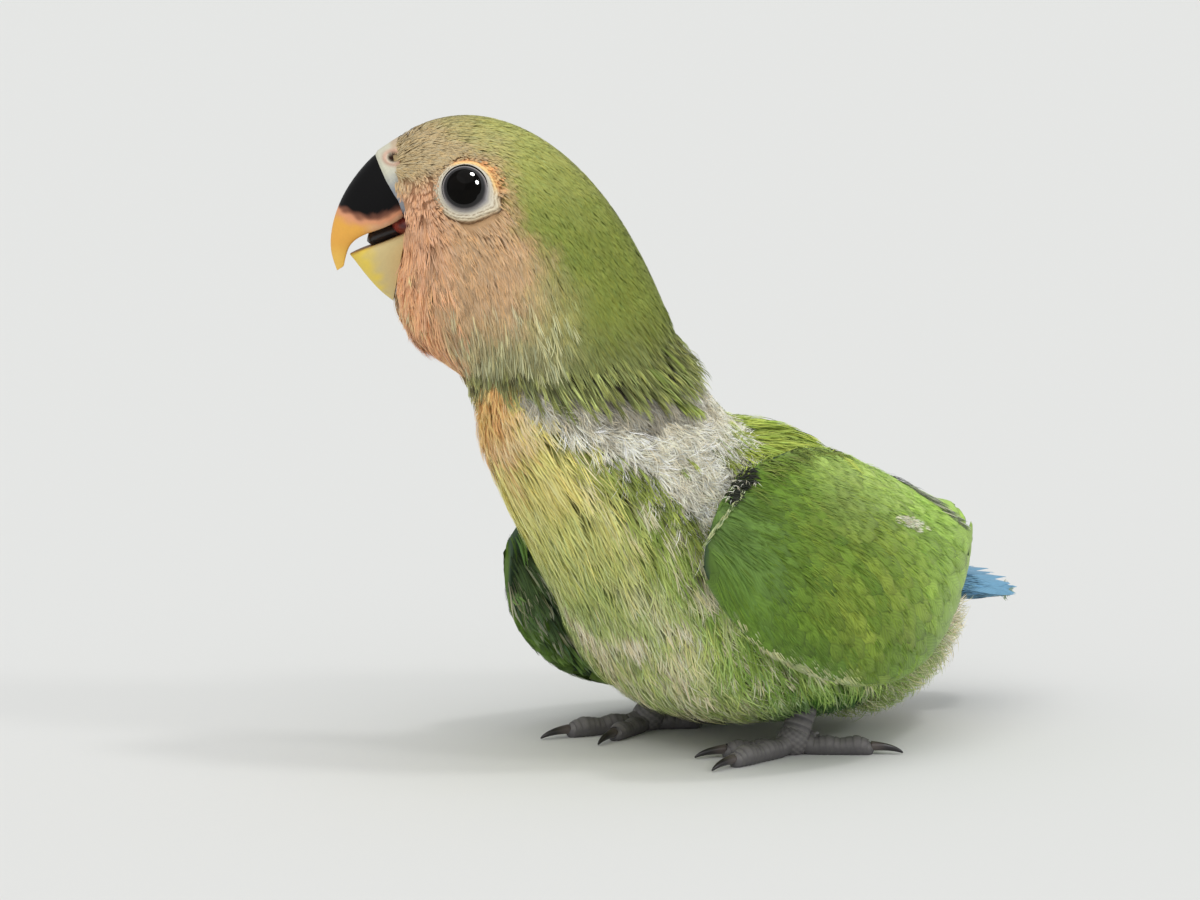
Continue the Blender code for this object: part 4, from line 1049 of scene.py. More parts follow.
def coat_piece(name, batches, material):
    """One piece of plumage from several batches of blades or vanes."""
    starts = np.cumsum([0] + [len(batch["points"]) for batch in batches])
    maps = {key: np.concatenate([batch[key] for batch in batches]) for key in ("OFBake", "Vane") if key in batches[0]}
    faces = np.concatenate([batch["faces"] + start for batch, start in zip(batches, starts)])
    print(name, "triangles", len(faces) * (faces.shape[1] - 2))
    return make_piece(
        name, np.concatenate([batch["points"] for batch in batches]), faces, material,
        colour=np.concatenate([batch["colour"] for batch in batches]), maps=maps,
    )


def flow(places, down, sheet=FLESH, sideways=0.0):
    """The way feathers point: back along the body, turned towards the ground by the share down."""
    point, slope_u, slope_v, out = sheet_at(sheet, places[:, 0], places[:, 1])
    back_way = -slope_u / np.linalg.norm(slope_u, axis=1)[:, None]
    down_way = np.array([0.0, 0.0, -1.0]) - out * (-out[:, 2:])
    down_way /= np.linalg.norm(down_way, axis=1)[:, None] + 1e-6
    down = np.broadcast_to(np.asarray(down, float), len(places))[:, None]
    around = slope_v / np.linalg.norm(slope_v, axis=1)[:, None]
    return back_way * (1.0 - down) + down_way * down + around * np.broadcast_to(np.asarray(sideways, float), len(places))[:, None]


feather_material, feather_shader, feather_tree = tint_material("soft_feather", 0.62, 0.25, 0.10, 0.8)
feather_shader.inputs["Sheen Weight"].default_value = 0.08
feather_shader.inputs["Sheen Roughness"].default_value = 0.5
WHOLE_ROUND = (0.0, 16.0)


FACE_LINE = ((12.0, 7.0), (10.5, 5.2), (9.7, 1.8), (9.1, 0.2), (8.4, -2.4), (7.9, -4.4), (8.5, -8.0), (9.7, -15.6), (11.5, -20.0))


def off_the_bare_parts(point, clear=0.0):
    """Where feathers may root on the head: outside the eye rings, the cere and the mouth."""
    ahead, out, high = in_head(point)
    turn = np.degrees(np.arctan2(high, ahead))
    ring = np.interp(np.mod(turn, 360.0), np.degrees(RING_TURN), RING_OUTER)
    ring = np.where(np.hypot(ahead, high) > 5.6, 5.0, ring)
    eye = np.hypot(ahead, high) > ring - 0.45 + clear
    bill = beyond(FACE_LINE, ahead, high) > 0.0
    return (eye | (np.abs(out) < 3.0)) & bill


def face_share(point):
    """How much a place on the head belongs to the peach face and not to the green hood."""
    ahead, out, high = in_head(point)
    return 1.0 - ramp(beyond(HOOD_LINE, ahead, high), -1.0, 1.0)


def head_fields(places):
    """Length, flow and colours of the head's small feathers at their roots."""
    point = sheet_at(FLESH, places[:, 0], places[:, 1])[0]
    ahead, out, high = in_head(point)
    angle = sheet_angle(places[:, 1])
    face = face_share(point)
    down = np.interp(angle, (0, 30, 60, 90, 120, 180), (0.0, 0.08, 0.34, 0.5, 0.62, 0.5))
    lores = ramp(ahead, 2.0, 6.5) * ramp(-high, -4.5, 0.5)
    down = np.maximum(down, 0.92 * lores)
    down = np.clip(down + 0.10 * face * ramp(-high, 2.0, 8.0), 0.0, 0.95)
    length = 2.6 + 0.5 * mottle(point, 4.0, 31)
    length = length - 1.1 * ramp(ahead, 3.0, 9.0) * ramp(high, -6.0, 0.0) - 0.9 * ramp(-np.hypot(ahead, high), -7.5, -5.0)
    length = length + face * (1.8 * ramp(-high, 3.0, 8.0) + 2.2 * ramp(-high, 8.0, 18.0))
    to_ring = np.hypot(ahead, high) - 4.4
    facing = ramp(0.8 * ahead + 0.6 * high, 0.0, 2.5)
    length = np.minimum(length, 0.75 + 0.8 * np.maximum(to_ring, 0.0) + (0.3 + 6.0 * ramp(-high, 2.5, 5.0)) * (1.0 - facing))
    chin = ramp(-beyond(FACE_LINE, ahead, high), -2.2, -0.4) * ramp(-high, 6.5, 9.0)
    way = flow(places, down) + (forward(HEAD_TURN) * 0.5 + (0.0, 0.0, -0.9)) * chin[:, None]
    locks = np.maximum(ramp(ahead, -2.5, 3.5) * ramp(-high, 3.5, 9.5), 0.8 * ramp(-high, 9.0, 15.0))
    return point, way, np.maximum(length, 0.7), locks, chin


def head_coat(u_range, seed, density, allowed, root_tone, rise, width, uneven, **shape):
    """One batch of the head's small feathers: smooth on the crown and forehead, in looser dark-rooted locks at the
    gape and throat, where the tips hang free."""
    places = scattered(FLESH, u_range, WHOLE_ROUND, density, seed, allowed)
    point, way, length, gape, chin = head_fields(places)
    colour = plumage_colour(point, places[:, 0], places[:, 1])
    draw = np.random.default_rng(seed + 2)
    uneven = uneven * (0.4 + gape)
    colour = colour * (1.0 + 0.06 * mottle(point, 1.5, 34) + uneven * draw.normal(0.0, 1.0, len(places)))[:, None]
    throat = throat_share(places[:, 0], places[:, 1])
    free = np.maximum(throat, chin)
    return strands(
        FLESH, places, way, seed + 1, length * (1.0 + 0.10 * throat + 0.2 * chin), width, colour, colour * mixed(root_tone[0], root_tone[1], gape),
        depth=coat_depth(places[:, 0]) * 0.55 + 1.2 * throat, rise=rise * (1.0 + 0.8 * free), cling=1.0 - 0.25 * throat - 0.35 * chin,
        clump=shape.pop("clump") + 0.4 * gape, **shape
    )


def on_crown(point, u, v):
    ahead, out, high = in_head(point)
    return off_the_bare_parts(point) & ((face_share(point) < 0.6) | (high > 2.0)) & (above_hood_edge(u, v) > 5.0)


def on_face(point, u, v):
    ahead, out, high = in_head(point)
    return off_the_bare_parts(point) & (face_share(point) >= 0.4) & (high < 3.0) & (above_hood_edge(u, v) > 7.0 + 3.0 * mottle(point, 2.5, 46))


CROWN_ROOTS = np.array([(0.93, 0.94, 0.90), (0.93, 0.94, 0.90)])
FACE_ROOTS = np.array([(0.86, 0.83, 0.80), (0.52, 0.43, 0.33)])
coat_piece(
    "crown_feathers",
    [head_coat((9.0, 17.0), 101, 3.8, on_crown, CROWN_ROOTS, 0.05, 0.17, 0.02, count=6, spread=0.42, clump=0.15, vary=0.05, roll=3.5)],
    feather_material,
)
face = [
    head_coat((10.0, 17.0), 103, 2.1, on_face, FACE_ROOTS, 0.15, 0.135, 0.14, count=9, spread=0.46, clump=0.35, stagger=0.35,
              vary=0.07, roll=7.0, steps=4, tint_from=0.05)
]


def on_throat(point, u, v):
    ahead, out, high = in_head(point)
    return off_the_bare_parts(point) & (sheet_angle(v) > 96.0) & (high < -6.5) & (high > -24.0) & (ahead > 1.5) & (above_hood_edge(u, v) > 6.0)


def on_low_cheek(point, u, v):
    above = above_hood_edge(u, v)
    return (sheet_angle(v) > 72.0) & (above > 6.0) & (above < 19.0) & (face_share(point) > 0.25) & (in_head(point)[2] < -11.0)


for allowed, density, seed, pale, dark, extra in (
    (on_throat, 0.40, 151, paint(255, 196, 150), 0.55, 1.4), (on_low_cheek, 0.55, 154, paint(222, 222, 176), 0.30, 0.4),
):
    places = scattered(FLESH, (9.5, 17.0), WHOLE_ROUND, density, seed, allowed)
    point, way, length, gape, chin = head_fields(places)
    draw = np.random.default_rng(seed + 1)
    colour = mixed(plumage_colour(point, places[:, 0], places[:, 1]), pale, draw.uniform(0.0, 0.7, len(places))) * draw.uniform(0.9, 1.15, (len(places), 1))
    face.append(strands(FLESH, places, way, seed + 2, length * draw.uniform(0.8, 1.1, len(places)) + extra, 0.14, colour, colour * dark, count=8, spread=0.34,
                        clump=1.0, narrow=0.7, stagger=0.35, arch=0.15, depth=1.0, rise=0.45, cling=0.86, steps=5, vary=0.07, roll=10.0,
                        wander=0.06, tint_from=0.12))
coat_piece("face_feathers", face, feather_material)


# Hood fringe. Along the lower edge of the hood the growing feathers are long, narrow and apart over gaps of painted
# shadow, and stand out over the down of the neck in points, most at the nape.
def on_fringe(point, u, v):
    above = above_hood_edge(u, v)
    return (above > 0.2) & (above < 11.5)


def fringe_density(point, u, v):
    return np.interp(above_hood_edge(u, v), (0.2, 4.0, 8.0, 11.5), (0.62, 0.90, 1.20, 0.60))


places = scattered(FLESH, (8.2, 14.8), WHOLE_ROUND, (fringe_density, 1.2), 111, on_fringe)
point = sheet_at(FLESH, places[:, 0], places[:, 1])[0]
angle = sheet_angle(places[:, 1])
above = above_hood_edge(places[:, 0], places[:, 1])
draw = np.random.default_rng(5)
loose = ramp(-above, -10.0, -5.0)
colour = head_colour(point) * (0.90 + 0.10 * mottle(point, 2.0, 33))[:, None]
colour = mixed(colour, paint(196, 203, 120), 0.8 * loose * draw.uniform(0.0, 1.0, len(places)))
colour = colour * (1.0 + (0.32 * loose * draw.uniform(-1.6, 1.0, len(places)))[:, None])
nape = ramp(-angle, -66.0, -34.0)
low = ramp(-above, -7.0, -1.5)
length = 4.7 + 0.12 * above + 1.3 * draw.uniform(-1, 1, len(places)) + 1.6 * nape * low
down = np.interp(angle, (0, 40, 80, 120, 180), (0.0, 0.12, 0.42, 0.46, 0.40))
fringe_shadow = mixed(colour * 0.75, paint(50, 44, 28), loose)
fringe = [
    strands(FLESH, places, flow(places, down), 112, length, 0.15, colour, fringe_shadow, count=8, spread=0.30, clump=0.92, narrow=0.8,
             arch=0.10, depth=1.2, rise=0.22 + 0.95 * low + 0.7 * nape * low, cling=0.95 - 0.45 * nape * low, steps=4, vary=0.08,
             roll=10.0, wander=0.05, tint_from=0.20)
]
places = scattered(FLESH, (8.2, 12.0), WHOLE_ROUND, 0.13, 115, lambda point, u, v: (sheet_angle(v) < 66.0) & (np.abs(above_hood_edge(u, v) - 3.0) < 3.0))
draw = np.random.default_rng(116)
colour = mixed(paint(132, 148, 64), paint(176, 188, 104), draw.uniform(0.0, 1.0, len(places)))
fringe.append(strands(FLESH, places, flow(places, 0.05), 117, draw.uniform(6.5, 8.5, len(places)), 0.20, colour, colour * 0.5, count=9, spread=0.45,
                      clump=0.95, arch=0.2, depth=1.0, rise=1.2, cling=0.45, steps=4, vary=0.08, roll=12.0, wander=0.04, tint_from=0.1))
coat_piece("hood_fringe", fringe, feather_material)


# Neck down. Between the hood and the wings the young bird still shows soft grey-beige down: short curled fibres
# pointing all ways, with painted shade on it near the hood and a painted shadow, nearly black, in the hollow at the
# shoulder, and a few single green feathers coming through.
def on_down(point, u, v):
    angle = sheet_angle(v)
    above = above_hood_edge(u, v)
    side = (angle < 100.0 + 7.0 * (u - 7.2)) & (u > 5.7)
    front = (u > 5.0) & (angle > 80.0) & (angle < 100.0)
    return (above < 0.2) & (side | front)


places = scattered(FLESH, (5.0, 12.0), WHOLE_ROUND, 1.8, 121, on_down)
point = sheet_at(FLESH, places[:, 0], places[:, 1])[0]
shadow = ramp(above_hood_edge(places[:, 0], places[:, 1]) + 2.2 * mottle(point, 4.0, 35), -5.0, -0.5)
colour = body_colour(point, np.maximum(places[:, 0], 6.6), np.full(len(places), 3.0)) * (1.0 + 0.10 * mottle(point, 3.0, 36))[:, None]
# painted shade on the down under the hood
colour = mixed(colour, DOWN_SHADOW, 0.60 * shadow)
draw = np.random.default_rng(122)
colour = colour * (draw.uniform(0.90, 1.45, (len(places), 1)) * (1.0 + 0.16 * mottle(point, 2.2, 37))[:, None])
hollow_shade = np.exp(-(((places[:, 0] - 6.15) / 0.55) ** 2) - ((sheet_angle(places[:, 1]) - 62.0) / 14.0) ** 2)
# painted shadow: the down in the hollow at the shoulder is nearly black
colour = mixed(colour, paint(24, 24, 16), 0.95 * ramp(hollow_shade, 0.25, 0.6))
spin = draw.uniform(-np.pi, np.pi, len(places))
under_hood = ramp(above_hood_edge(places[:, 0], places[:, 1]), -7.0, -2.0)
way = flow(places, 0.3) + np.stack([np.cos(spin), 0 * spin, np.sin(spin)], 1) * (0.9 - 0.8 * under_hood)[:, None]
coat_piece(
    "neck_down",
    [strands(FLESH, places, way, 123, draw.uniform(2.4, 5.2, len(places)), 0.095, colour, colour * 0.62, count=11, spread=0.5, clump=-1.2,
             depth=1.5, rise=0.9 - 0.5 * shadow, cling=0.75 + 0.2 * shadow, curl=0.40, steps=4, roll=40.0, vary=0.12)],
    feather_material,
)


# Young green feathers. Narrow points with dark bases break through the down in slanting rows beside the breast, and
# a few stand alone nearer the shoulder.
def on_young(point, u, v):
    angle = sheet_angle(v)
    beside = (np.abs(angle - 98.0 - 6.5 * (u - 7.0)) < 5.0) & (u > 6.3) & (u < 8.5) & (v < 8.0)
    alone = (angle > 40.0) & (angle < 100.0) & (mottle(point, 3.2, 45) > 1.05)
    return (above_hood_edge(u, v) < 0.5) & (u > 5.6) & (beside | alone)


places = scattered(FLESH, (5.6, 9.6), WHOLE_ROUND, 0.60, 125, on_young)
point = sheet_at(FLESH, places[:, 0], places[:, 1])[0]
draw = np.random.default_rng(126)
tone = draw.uniform(0.75, 1.3, (len(places), 1))
coat_piece(
    "young_feathers",
    [strands(FLESH, places, flow(places, 0.25), 127, draw.uniform(4.0, 6.5, len(places)), 0.20, mixed(BREAST_GREEN, OLIVE, 0.45 + 0 * tone[:, 0]) * tone,
             OLIVE * 0.16 * tone, count=9, spread=0.50, clump=0.95, narrow=0.6, arch=0.2, depth=1.0, rise=1.35, cling=0.9, steps=4, roll=12.0,
             tint_from=0.34)],
    feather_material,
)


# Breast. Lanky strands, orange at the throat, then yellow turning green, run down from the throat to the belly in
# long overlapping locks with dark gaps where the growing feathers part.
def on_breast(point, u, v):
    angle = sheet_angle(v)
    return (angle > 98.0 + 6.5 * (u - 7.6)) & (above_hood_edge(u, v) < 2.5)


def lock_colours(base, seed, calm):
    """Colours of locks at their tips and roots: some paler like straw, some darker, over olive-brown shadow. Where the
    feathers lie calm they are all alike, and no gaps show."""
    draw = np.random.default_rng(seed)
    kind = draw.uniform(0.0, 1.0, len(base))
    tip = base * (1.0 + (1.0 - 0.5 * calm) * draw.uniform(-0.15, 0.15, len(base)))[:, None]
    tip = mixed(tip, BELLY_PINK, 0.65 * (kind < 0.26) * (1.0 - calm))
    tip = mixed(tip, base * (0.46, 0.56, 0.32), 0.85 * (kind > 0.72) * (1.0 - calm))
    dark = mixed(tip * 0.34, OLIVE * 0.28, np.full(len(base), 0.6))
    return tip, mixed(dark, tip * 0.78, calm)


places = scattered(FLESH, (5.4, 12.8), WHOLE_ROUND, 0.42, 131, on_breast)
point = sheet_at(FLESH, places[:, 0], places[:, 1])[0]
draw = np.random.default_rng(132)
angle = sheet_angle(places[:, 1])
calm = np.clip(ramp(angle, 116.0, 134.0) * (0.80 + 0.15 * mottle(point, 4.0, 135)) + 0.6 * ramp(places[:, 0], 9.4, 10.4), 0.0, 1.0)
colour, shadow = lock_colours(body_colour(point, places[:, 0] - 0.9, np.maximum(angle, 116.0) / 22.5), 134, calm)
length = np.interp(places[:, 0], (5.4, 8.0, 10.0), (10.0, 9.0, 6.0)) * draw.uniform(0.7, 1.2, len(places))
lock = dict(narrow=0.45, stagger=0.45, depth=2.0, steps=5, vary=0.06, roll=12.0, tint_from=0.24)
coat_piece(
    "breast_feathers",
    [strands(FLESH, places, flow(places, 0.25), 133, length, 0.17, colour, shadow, count=14, spread=1.15, clump=0.6, arch=0.35,
             rise=0.7, cling=0.9, wander=0.09, curl=0.04, **lock)],
    feather_material,
)


# Orange bib. Short soft fluff at the top of the breast, orange under the hood and fading to cream below it.
def on_bib(point, u, v):
    return (sheet_angle(v) > 126.0) & (above_hood_edge(u, v) < 0.8)


places = scattered(FLESH, (9.5, 12.8), WHOLE_ROUND, 1.1, 137, on_bib)
point = sheet_at(FLESH, places[:, 0], places[:, 1])[0]
draw = np.random.default_rng(138)
warm_share = ramp(places[:, 0] + 0.3 * draw.normal(0.0, 1.0, len(places)) - 0.02 * (180.0 - sheet_angle(places[:, 1])), 9.3, 10.1)
tip = mixed(paint(248, 226, 176), paint(255, 184, 120) * 1.45, warm_share) * draw.uniform(0.88, 1.12, (len(places), 1))
coat_piece(
    "bib_feathers",
    [strands(FLESH, places, flow(places, 0.25), 139, draw.uniform(2.8, 4.4, len(places)), 0.12, tip, tip * 0.92, count=10, spread=0.55,
             clump=0.3, depth=1.4, rise=1.0, cling=0.9, curl=0.12, steps=4, roll=14.0, vary=0.06, tint_from=0.05)],
    feather_material,
)


# Belly and flanks. Looser locks of green with pinkish down between them, darker and greener under the wings as
# painted shade, going straight down over the thighs, and pale fluff round the vent.
def on_belly(point, u, v):
    return (sheet_angle(v) > 84.0) & (u > 0.3)


places = scattered(FLESH, (0.3, 6.2), WHOLE_ROUND, 0.34, 141, on_belly)
point = sheet_at(FLESH, places[:, 0], places[:, 1])[0]
angle = sheet_angle(places[:, 1])
draw = np.random.default_rng(142)
calm = 0.20 * ramp(angle, 122.0, 140.0)
colour, shadow = lock_colours(body_colour(point, places[:, 0], places[:, 1]), 144, calm)
# painted shade: the locks low on the flank under the wing are darker and greener
under_wing_shade = ramp(-places[:, 0], -5.0, -4.2) * ramp(angle, 104.0, 118.0) * ramp(-angle, -160.0, -146.0)
colour = mixed(colour, colour * (0.42, 0.68, 0.32), under_wing_shade)
length = np.interp(places[:, 0], (0.3, 2.0, 6.0), (8.0, 9.5, 10.0)) * draw.uniform(0.7, 1.2, len(places))
down = np.interp(angle, (84, 110, 140, 180), (0.66, 0.62, 0.40, 0.1))
belly = [
    strands(FLESH, places, flow(places, down), 143, length, 0.17, colour, shadow, count=15, spread=1.2, clump=0.4 + 0.6 * ramp(-angle, -140.0, -118.0),
            arch=0.3, rise=0.9, cling=0.80, wander=0.10, curl=0.12 * ramp(angle, 118.0, 140.0), **lock)
]
vent = scattered(FLESH, (0.3, 2.8), WHOLE_ROUND, 0.9, 145, lambda point, u, v: (sheet_angle(v) > 96.0) & (sheet_angle(v) < 168.0))
draw = np.random.default_rng(146)
colour = mixed(BELLY_PINK, mixed(paint(196, 200, 150), FLANK, ramp(vent[:, 0], 1.2, 2.4)), np.clip(draw.uniform(0.0, 1.0, len(vent)) + 0.4 * ramp(vent[:, 0], 1.2, 2.4), 0.0, 1.0))
fluff = (strands(FLESH, vent, flow(vent, 0.30), 147, draw.uniform(5.0, 9.0, len(vent)), 0.10, colour, colour * 0.6, count=10, spread=0.7, clump=-0.8,
                     depth=1.5, rise=2.2, cling=0.35, curl=0.35, steps=5, roll=35.0, wander=0.15))
coat_piece("belly_feathers", belly, feather_material)
coat_piece("vent_fluff", [fluff], feather_material)


# Wing feathers. Vanes with a shaft and fine barbs overlap like tiles: small coverts in front, greater coverts and
# flight feathers with blunt round tips behind, bluish green at the front edge and yellower behind.
def vanes(sheet, places, heading, seed, length, width, colour, root_colour, depth=0.5, rise=0.5, camber=0.25, cling=1.0,
          columns=4, rows=6, blunt=0.55, base=0.35, roll=6.0, vary=0.06, edge_shade=0.0, corner=(0.0, 0.0), size=1.0):
    """Single feathers: a grid over each, as wide as a shaft at its root, swelling and closing in a round tip. It is
    laid on the sheet by millimetres along and across, lifted towards its tip and arched across its shaft; its edges
    and tip can be darkened as painted shade."""
    draw = np.random.default_rng(seed)
    n = len(places)
    fields = [np.broadcast_to(np.asarray(value, float), n)[:, None, None] for value in (length, width, depth, rise, camber, cling)]
    length, width, depth, rise, camber, cling = fields
    point, along, across, out, along_step, across_step = rooted(sheet, places, heading)
    t = np.linspace(0.0, 1.0, rows + 1)
    s = (1.0 - (1.0 - t) ** 1.5)[None, :, None]
    c = np.linspace(-1.0, 1.0, columns + 1)[None, None, :]
    outline = (base + (1.0 - base) * ramp(s, 0.0, 0.45)) * np.sqrt(np.clip(1.0 - ramp(s, blunt, 1.0) ** 2.2, 0.04, 1.0))
    frayed = 1.0 + 0.05 * draw.normal(0.0, 1.0, (n, rows + 1, columns + 1)) * (np.abs(c) > 0.9)
    uneven = np.clip(draw.normal(0.0, 1.0, (n, 1, columns + 1)), -0.9, 1.5)
    reach = length * s + 0 * c + 0.04 * length * uneven * (s > 0.95)
    bend = 0.05 * draw.normal(0.0, 1.0, (n, 1, 1))
    aside = width / 2 * outline * c * frayed + bend * length * s**2
    path = places[:, None, None, :] + along_step[:, None, None, :] * reach[..., None] + across_step[:, None, None, :] * aside[..., None]
    on_sheet, _, _, normal = sheet_at(sheet, path[..., 0], path[..., 1])
    tilt = np.radians(roll) * draw.normal(0.0, 1.0, (n, 1, 1))
    lift = -depth + (rise * draw.uniform(0.85, 1.15, (n, 1, 1)) + depth) * (1.0 - (1.0 - s) ** 2) - camber * c**2 * outline + aside * np.sin(tilt)
    line = on_sheet + normal * lift[..., None]
    straight = (
        point[:, None, None] + along[:, None, None] * reach[..., None]
        + across[:, None, None] * aside[..., None] + out[:, None, None] * lift[..., None]
    )
    line = cling[..., None] * line + (1.0 - cling[..., None]) * straight
    row, column = np.meshgrid(np.arange(rows), np.arange(columns), indexing="ij")
    wide = columns + 1
    quads = np.stack([row * wide + column, row * wide + column + 1, (row + 1) * wide + column + 1, (row + 1) * wide + column], -1).reshape(-1, 4)
    faces = (np.arange(n)[:, None, None] * (rows + 1) * wide + quads[None, :, ::-1]).reshape(-1, 4)
    tone = 1.0 + vary * draw.normal(0.0, 1.0, (n, 1, 1, 1)) + 0.03 * draw.normal(0.0, 1.0, (n, rows + 1, columns + 1, 1))
    # painted shade: edge_shade darkens each vane's edges and tip, where the feather above parts from it
    tone = tone + edge_shade * (ramp(np.abs(c), 0.5, 1.0) * ramp(s, 0.3, 0.8) + ramp(s, 0.85, 1.0))[..., None]
    shade = root_colour[:, None, None] + (colour - root_colour)[:, None, None] * (ramp(s, 0.0, 0.55) + 0 * c)[..., None]
    patch = np.stack(np.broadcast_arrays(c * 0.5, s - 0.5), -1) * BAKE_PATCH
    bake = bake_place(sheet, places, corner, size)[:, None, None] + patch
    vane = np.broadcast_to(np.stack(np.broadcast_arrays(0.5 + 0.5 * c, s), -1), (n, rows + 1, wide, 2))
    return {
        "points": line.reshape(-1, 3), "faces": faces, "colour": (shade * tone).reshape(-1, 3),
        "OFBake": bake.reshape(-1, 2), "Vane": vane.reshape(-1, 2),
    }


def vane_material(name, barbs, roughness, strength):
    """Feather vanes: tinted from the mesh, with barbs in slanting fine lines either side of a thin shaft."""
    made, shader, tree = plain_material(name, (0.3, 0.4, 0.2), roughness, 0.25)
    shader.inputs["Sheen Weight"].default_value = 0.10
    shader.inputs["Sheen Roughness"].default_value = 0.45
    tint = add_node(tree, "ShaderNodeAttribute", attribute_name="Tint")
    place = add_node(tree, "ShaderNodeUVMap", uv_map="Vane")
    split = add_node(tree, "ShaderNodeSeparateXYZ")
    tree.links.new(place.outputs["UV"], split.inputs["Vector"])

    def worked(operation, first, second=0.0, third=0.0):
        node = add_node(tree, "ShaderNodeMath", operation=operation)
        for socket, value in zip(node.inputs, (first, second, third)):
            if isinstance(value, float):
                socket.default_value = value
            else:
                tree.links.new(value, socket)
        return node.outputs[0]

    from_shaft = worked("ABSOLUTE", worked("SUBTRACT", split.outputs["X"], 0.5))
    where = add_node(tree, "ShaderNodeTexCoord")
    wander = add_node(tree, "ShaderNodeTexNoise", Scale=900.0, Detail=2.0)
    tree.links.new(where.outputs["Object"], wander.inputs["Vector"])
    slant = worked("SUBTRACT", split.outputs["Y"], worked("MULTIPLY", from_shaft, 0.9))
    phase = worked("ADD", worked("MULTIPLY", slant, barbs), worked("MULTIPLY", wander.outputs["Fac"], 4.0))
    lines = worked("SINE", phase)
    shaft = worked("COMPARE", from_shaft, 0.0, 0.022)
    level = worked("ADD", worked("MULTIPLY", lines, 0.10), worked("MULTIPLY_ADD", wander.outputs["Fac"], 0.30, 0.85))
    level = worked("SUBTRACT", level, worked("MULTIPLY", shaft, 0.16))
    shade = add_node(tree, "ShaderNodeVectorMath", operation="SCALE")
    tree.links.new(tint.outputs["Color"], shade.inputs[0])
    tree.links.new(level, shade.inputs["Scale"])
    tree.links.new(shade.outputs["Vector"], shader.inputs["Base Color"])
    relief = add_node(tree, "ShaderNodeBump", Strength=strength, Distance=0.06 * MM)
    tree.links.new(worked("ADD", lines, shaft), relief.inputs["Height"])
    tree.links.new(relief.outputs["Normal"], shader.inputs["Normal"])
    return made


def wing_place(side_name, y, z, inside=False):
    """The place on a wing's sheet whose outer face is at y and z: the nearest of a close grid of its points."""
    sheet = WING[side_name]
    low, high = (6.2, 10.8) if inside else (-0.2, 5.2)
    u, v = np.meshgrid(np.linspace(0.0, 8.0, 150), np.linspace(low, high, 90), indexing="ij")
    point = sheet_at(sheet, u, v)[0].reshape(-1, 3)
    flat = point[:, 1:]
    target = np.stack([y, z], 1)
    nearest, distance = [], []
    for chunk in np.array_split(target, max(1, len(target) // 200)):
        gap = ((chunk[:, None] - flat[None]) ** 2).sum(-1)
        nearest.append(gap.argmin(1))
        distance.append(np.sqrt(gap.min(1)))
    nearest, distance = np.concatenate(nearest), np.concatenate(distance)
    return np.stack([u.ravel()[nearest], v.ravel()[nearest]], 1), distance


WING_HEART = np.array([8.0 + STAND[1], 28.0])


def wing_tracts(side_name, seed):
    """Roots in staggered rows across the wing's flow, the rows and feathers growing from the front to the back."""
    draw = np.random.default_rng(seed)
    slope = np.radians(48.0)
    along, across = np.array([np.cos(slope), -np.sin(slope)]), np.array([np.sin(slope), np.cos(slope)])
    spots, sizes = [], []
    run, row = -44.0, 0
    while run < 34.0:
        grown = np.clip((run + 34.0) / 58.0, 0.0, 1.0)
        wide = 2.4 + 3.2 * grown
        rank = np.arange(-40.0, 40.0, wide * 0.62) + 0.31 * wide * (row % 2)
        spot = WING_HEART + along * run + rank[:, None] * across
        spots.append(spot + draw.normal(0.0, 0.10, spot.shape) * wide)
        sizes.append(np.full(len(rank), wide))
        run += 1.5 + 2.2 * grown
        row += 1
    spot, wide = np.concatenate(spots), np.concatenate(sizes)
    if side_name == "right":
        height = (spot[:, 1] - 36.0) * OPENING
        turned = np.stack([(spot[:, 0] - 35.9) * np.cos(DROOP) - height * np.sin(DROOP) + 35.7, height * np.cos(DROOP) + (spot[:, 0] - 35.9) * np.sin(DROOP) + 34.6], 1)
        places, gap = wing_place(side_name, turned[:, 0], turned[:, 1])
    else:
        places, gap = wing_place(side_name, spot[:, 0], spot[:, 1])
    kept = gap < 0.7
    return places[kept], wide[kept], spot[kept]


def wing_heading(places, side_name):
    """The wing's flow at roots: backwards and down, level towards the top edge and steeper at the front."""
    share = np.clip(places[:, 1] / 5.0, 0.0, 1.0)
    steep = np.interp(share, (0.0, 0.25, 0.6, 1.0), (14.0, 34.0, 54.0, 50.0)) + np.interp(places[:, 0], (0.0, 2.0, 6.0, 8.0), (8.0, 0.0, 0.0, 8.0))
    steep = np.radians(steep)
    return np.stack([0 * steep, np.cos(steep), -np.sin(steep)], 1)


PALE_EDGE, INNER_GREEN = paint(206, 208, 158), paint(98, 122, 82)


def wing_marks(places, colour):
    """The yellowish band along the lower edge of the wing in front."""
    u, v = places[:, 0], places[:, 1]
    band = ramp(v, 4.35, 4.8) * ramp(u, 0.2, 1.0) * ramp(-u, -3.6, -2.9)
    return mixed(colour, PALE_EDGE, 0.85 * band)


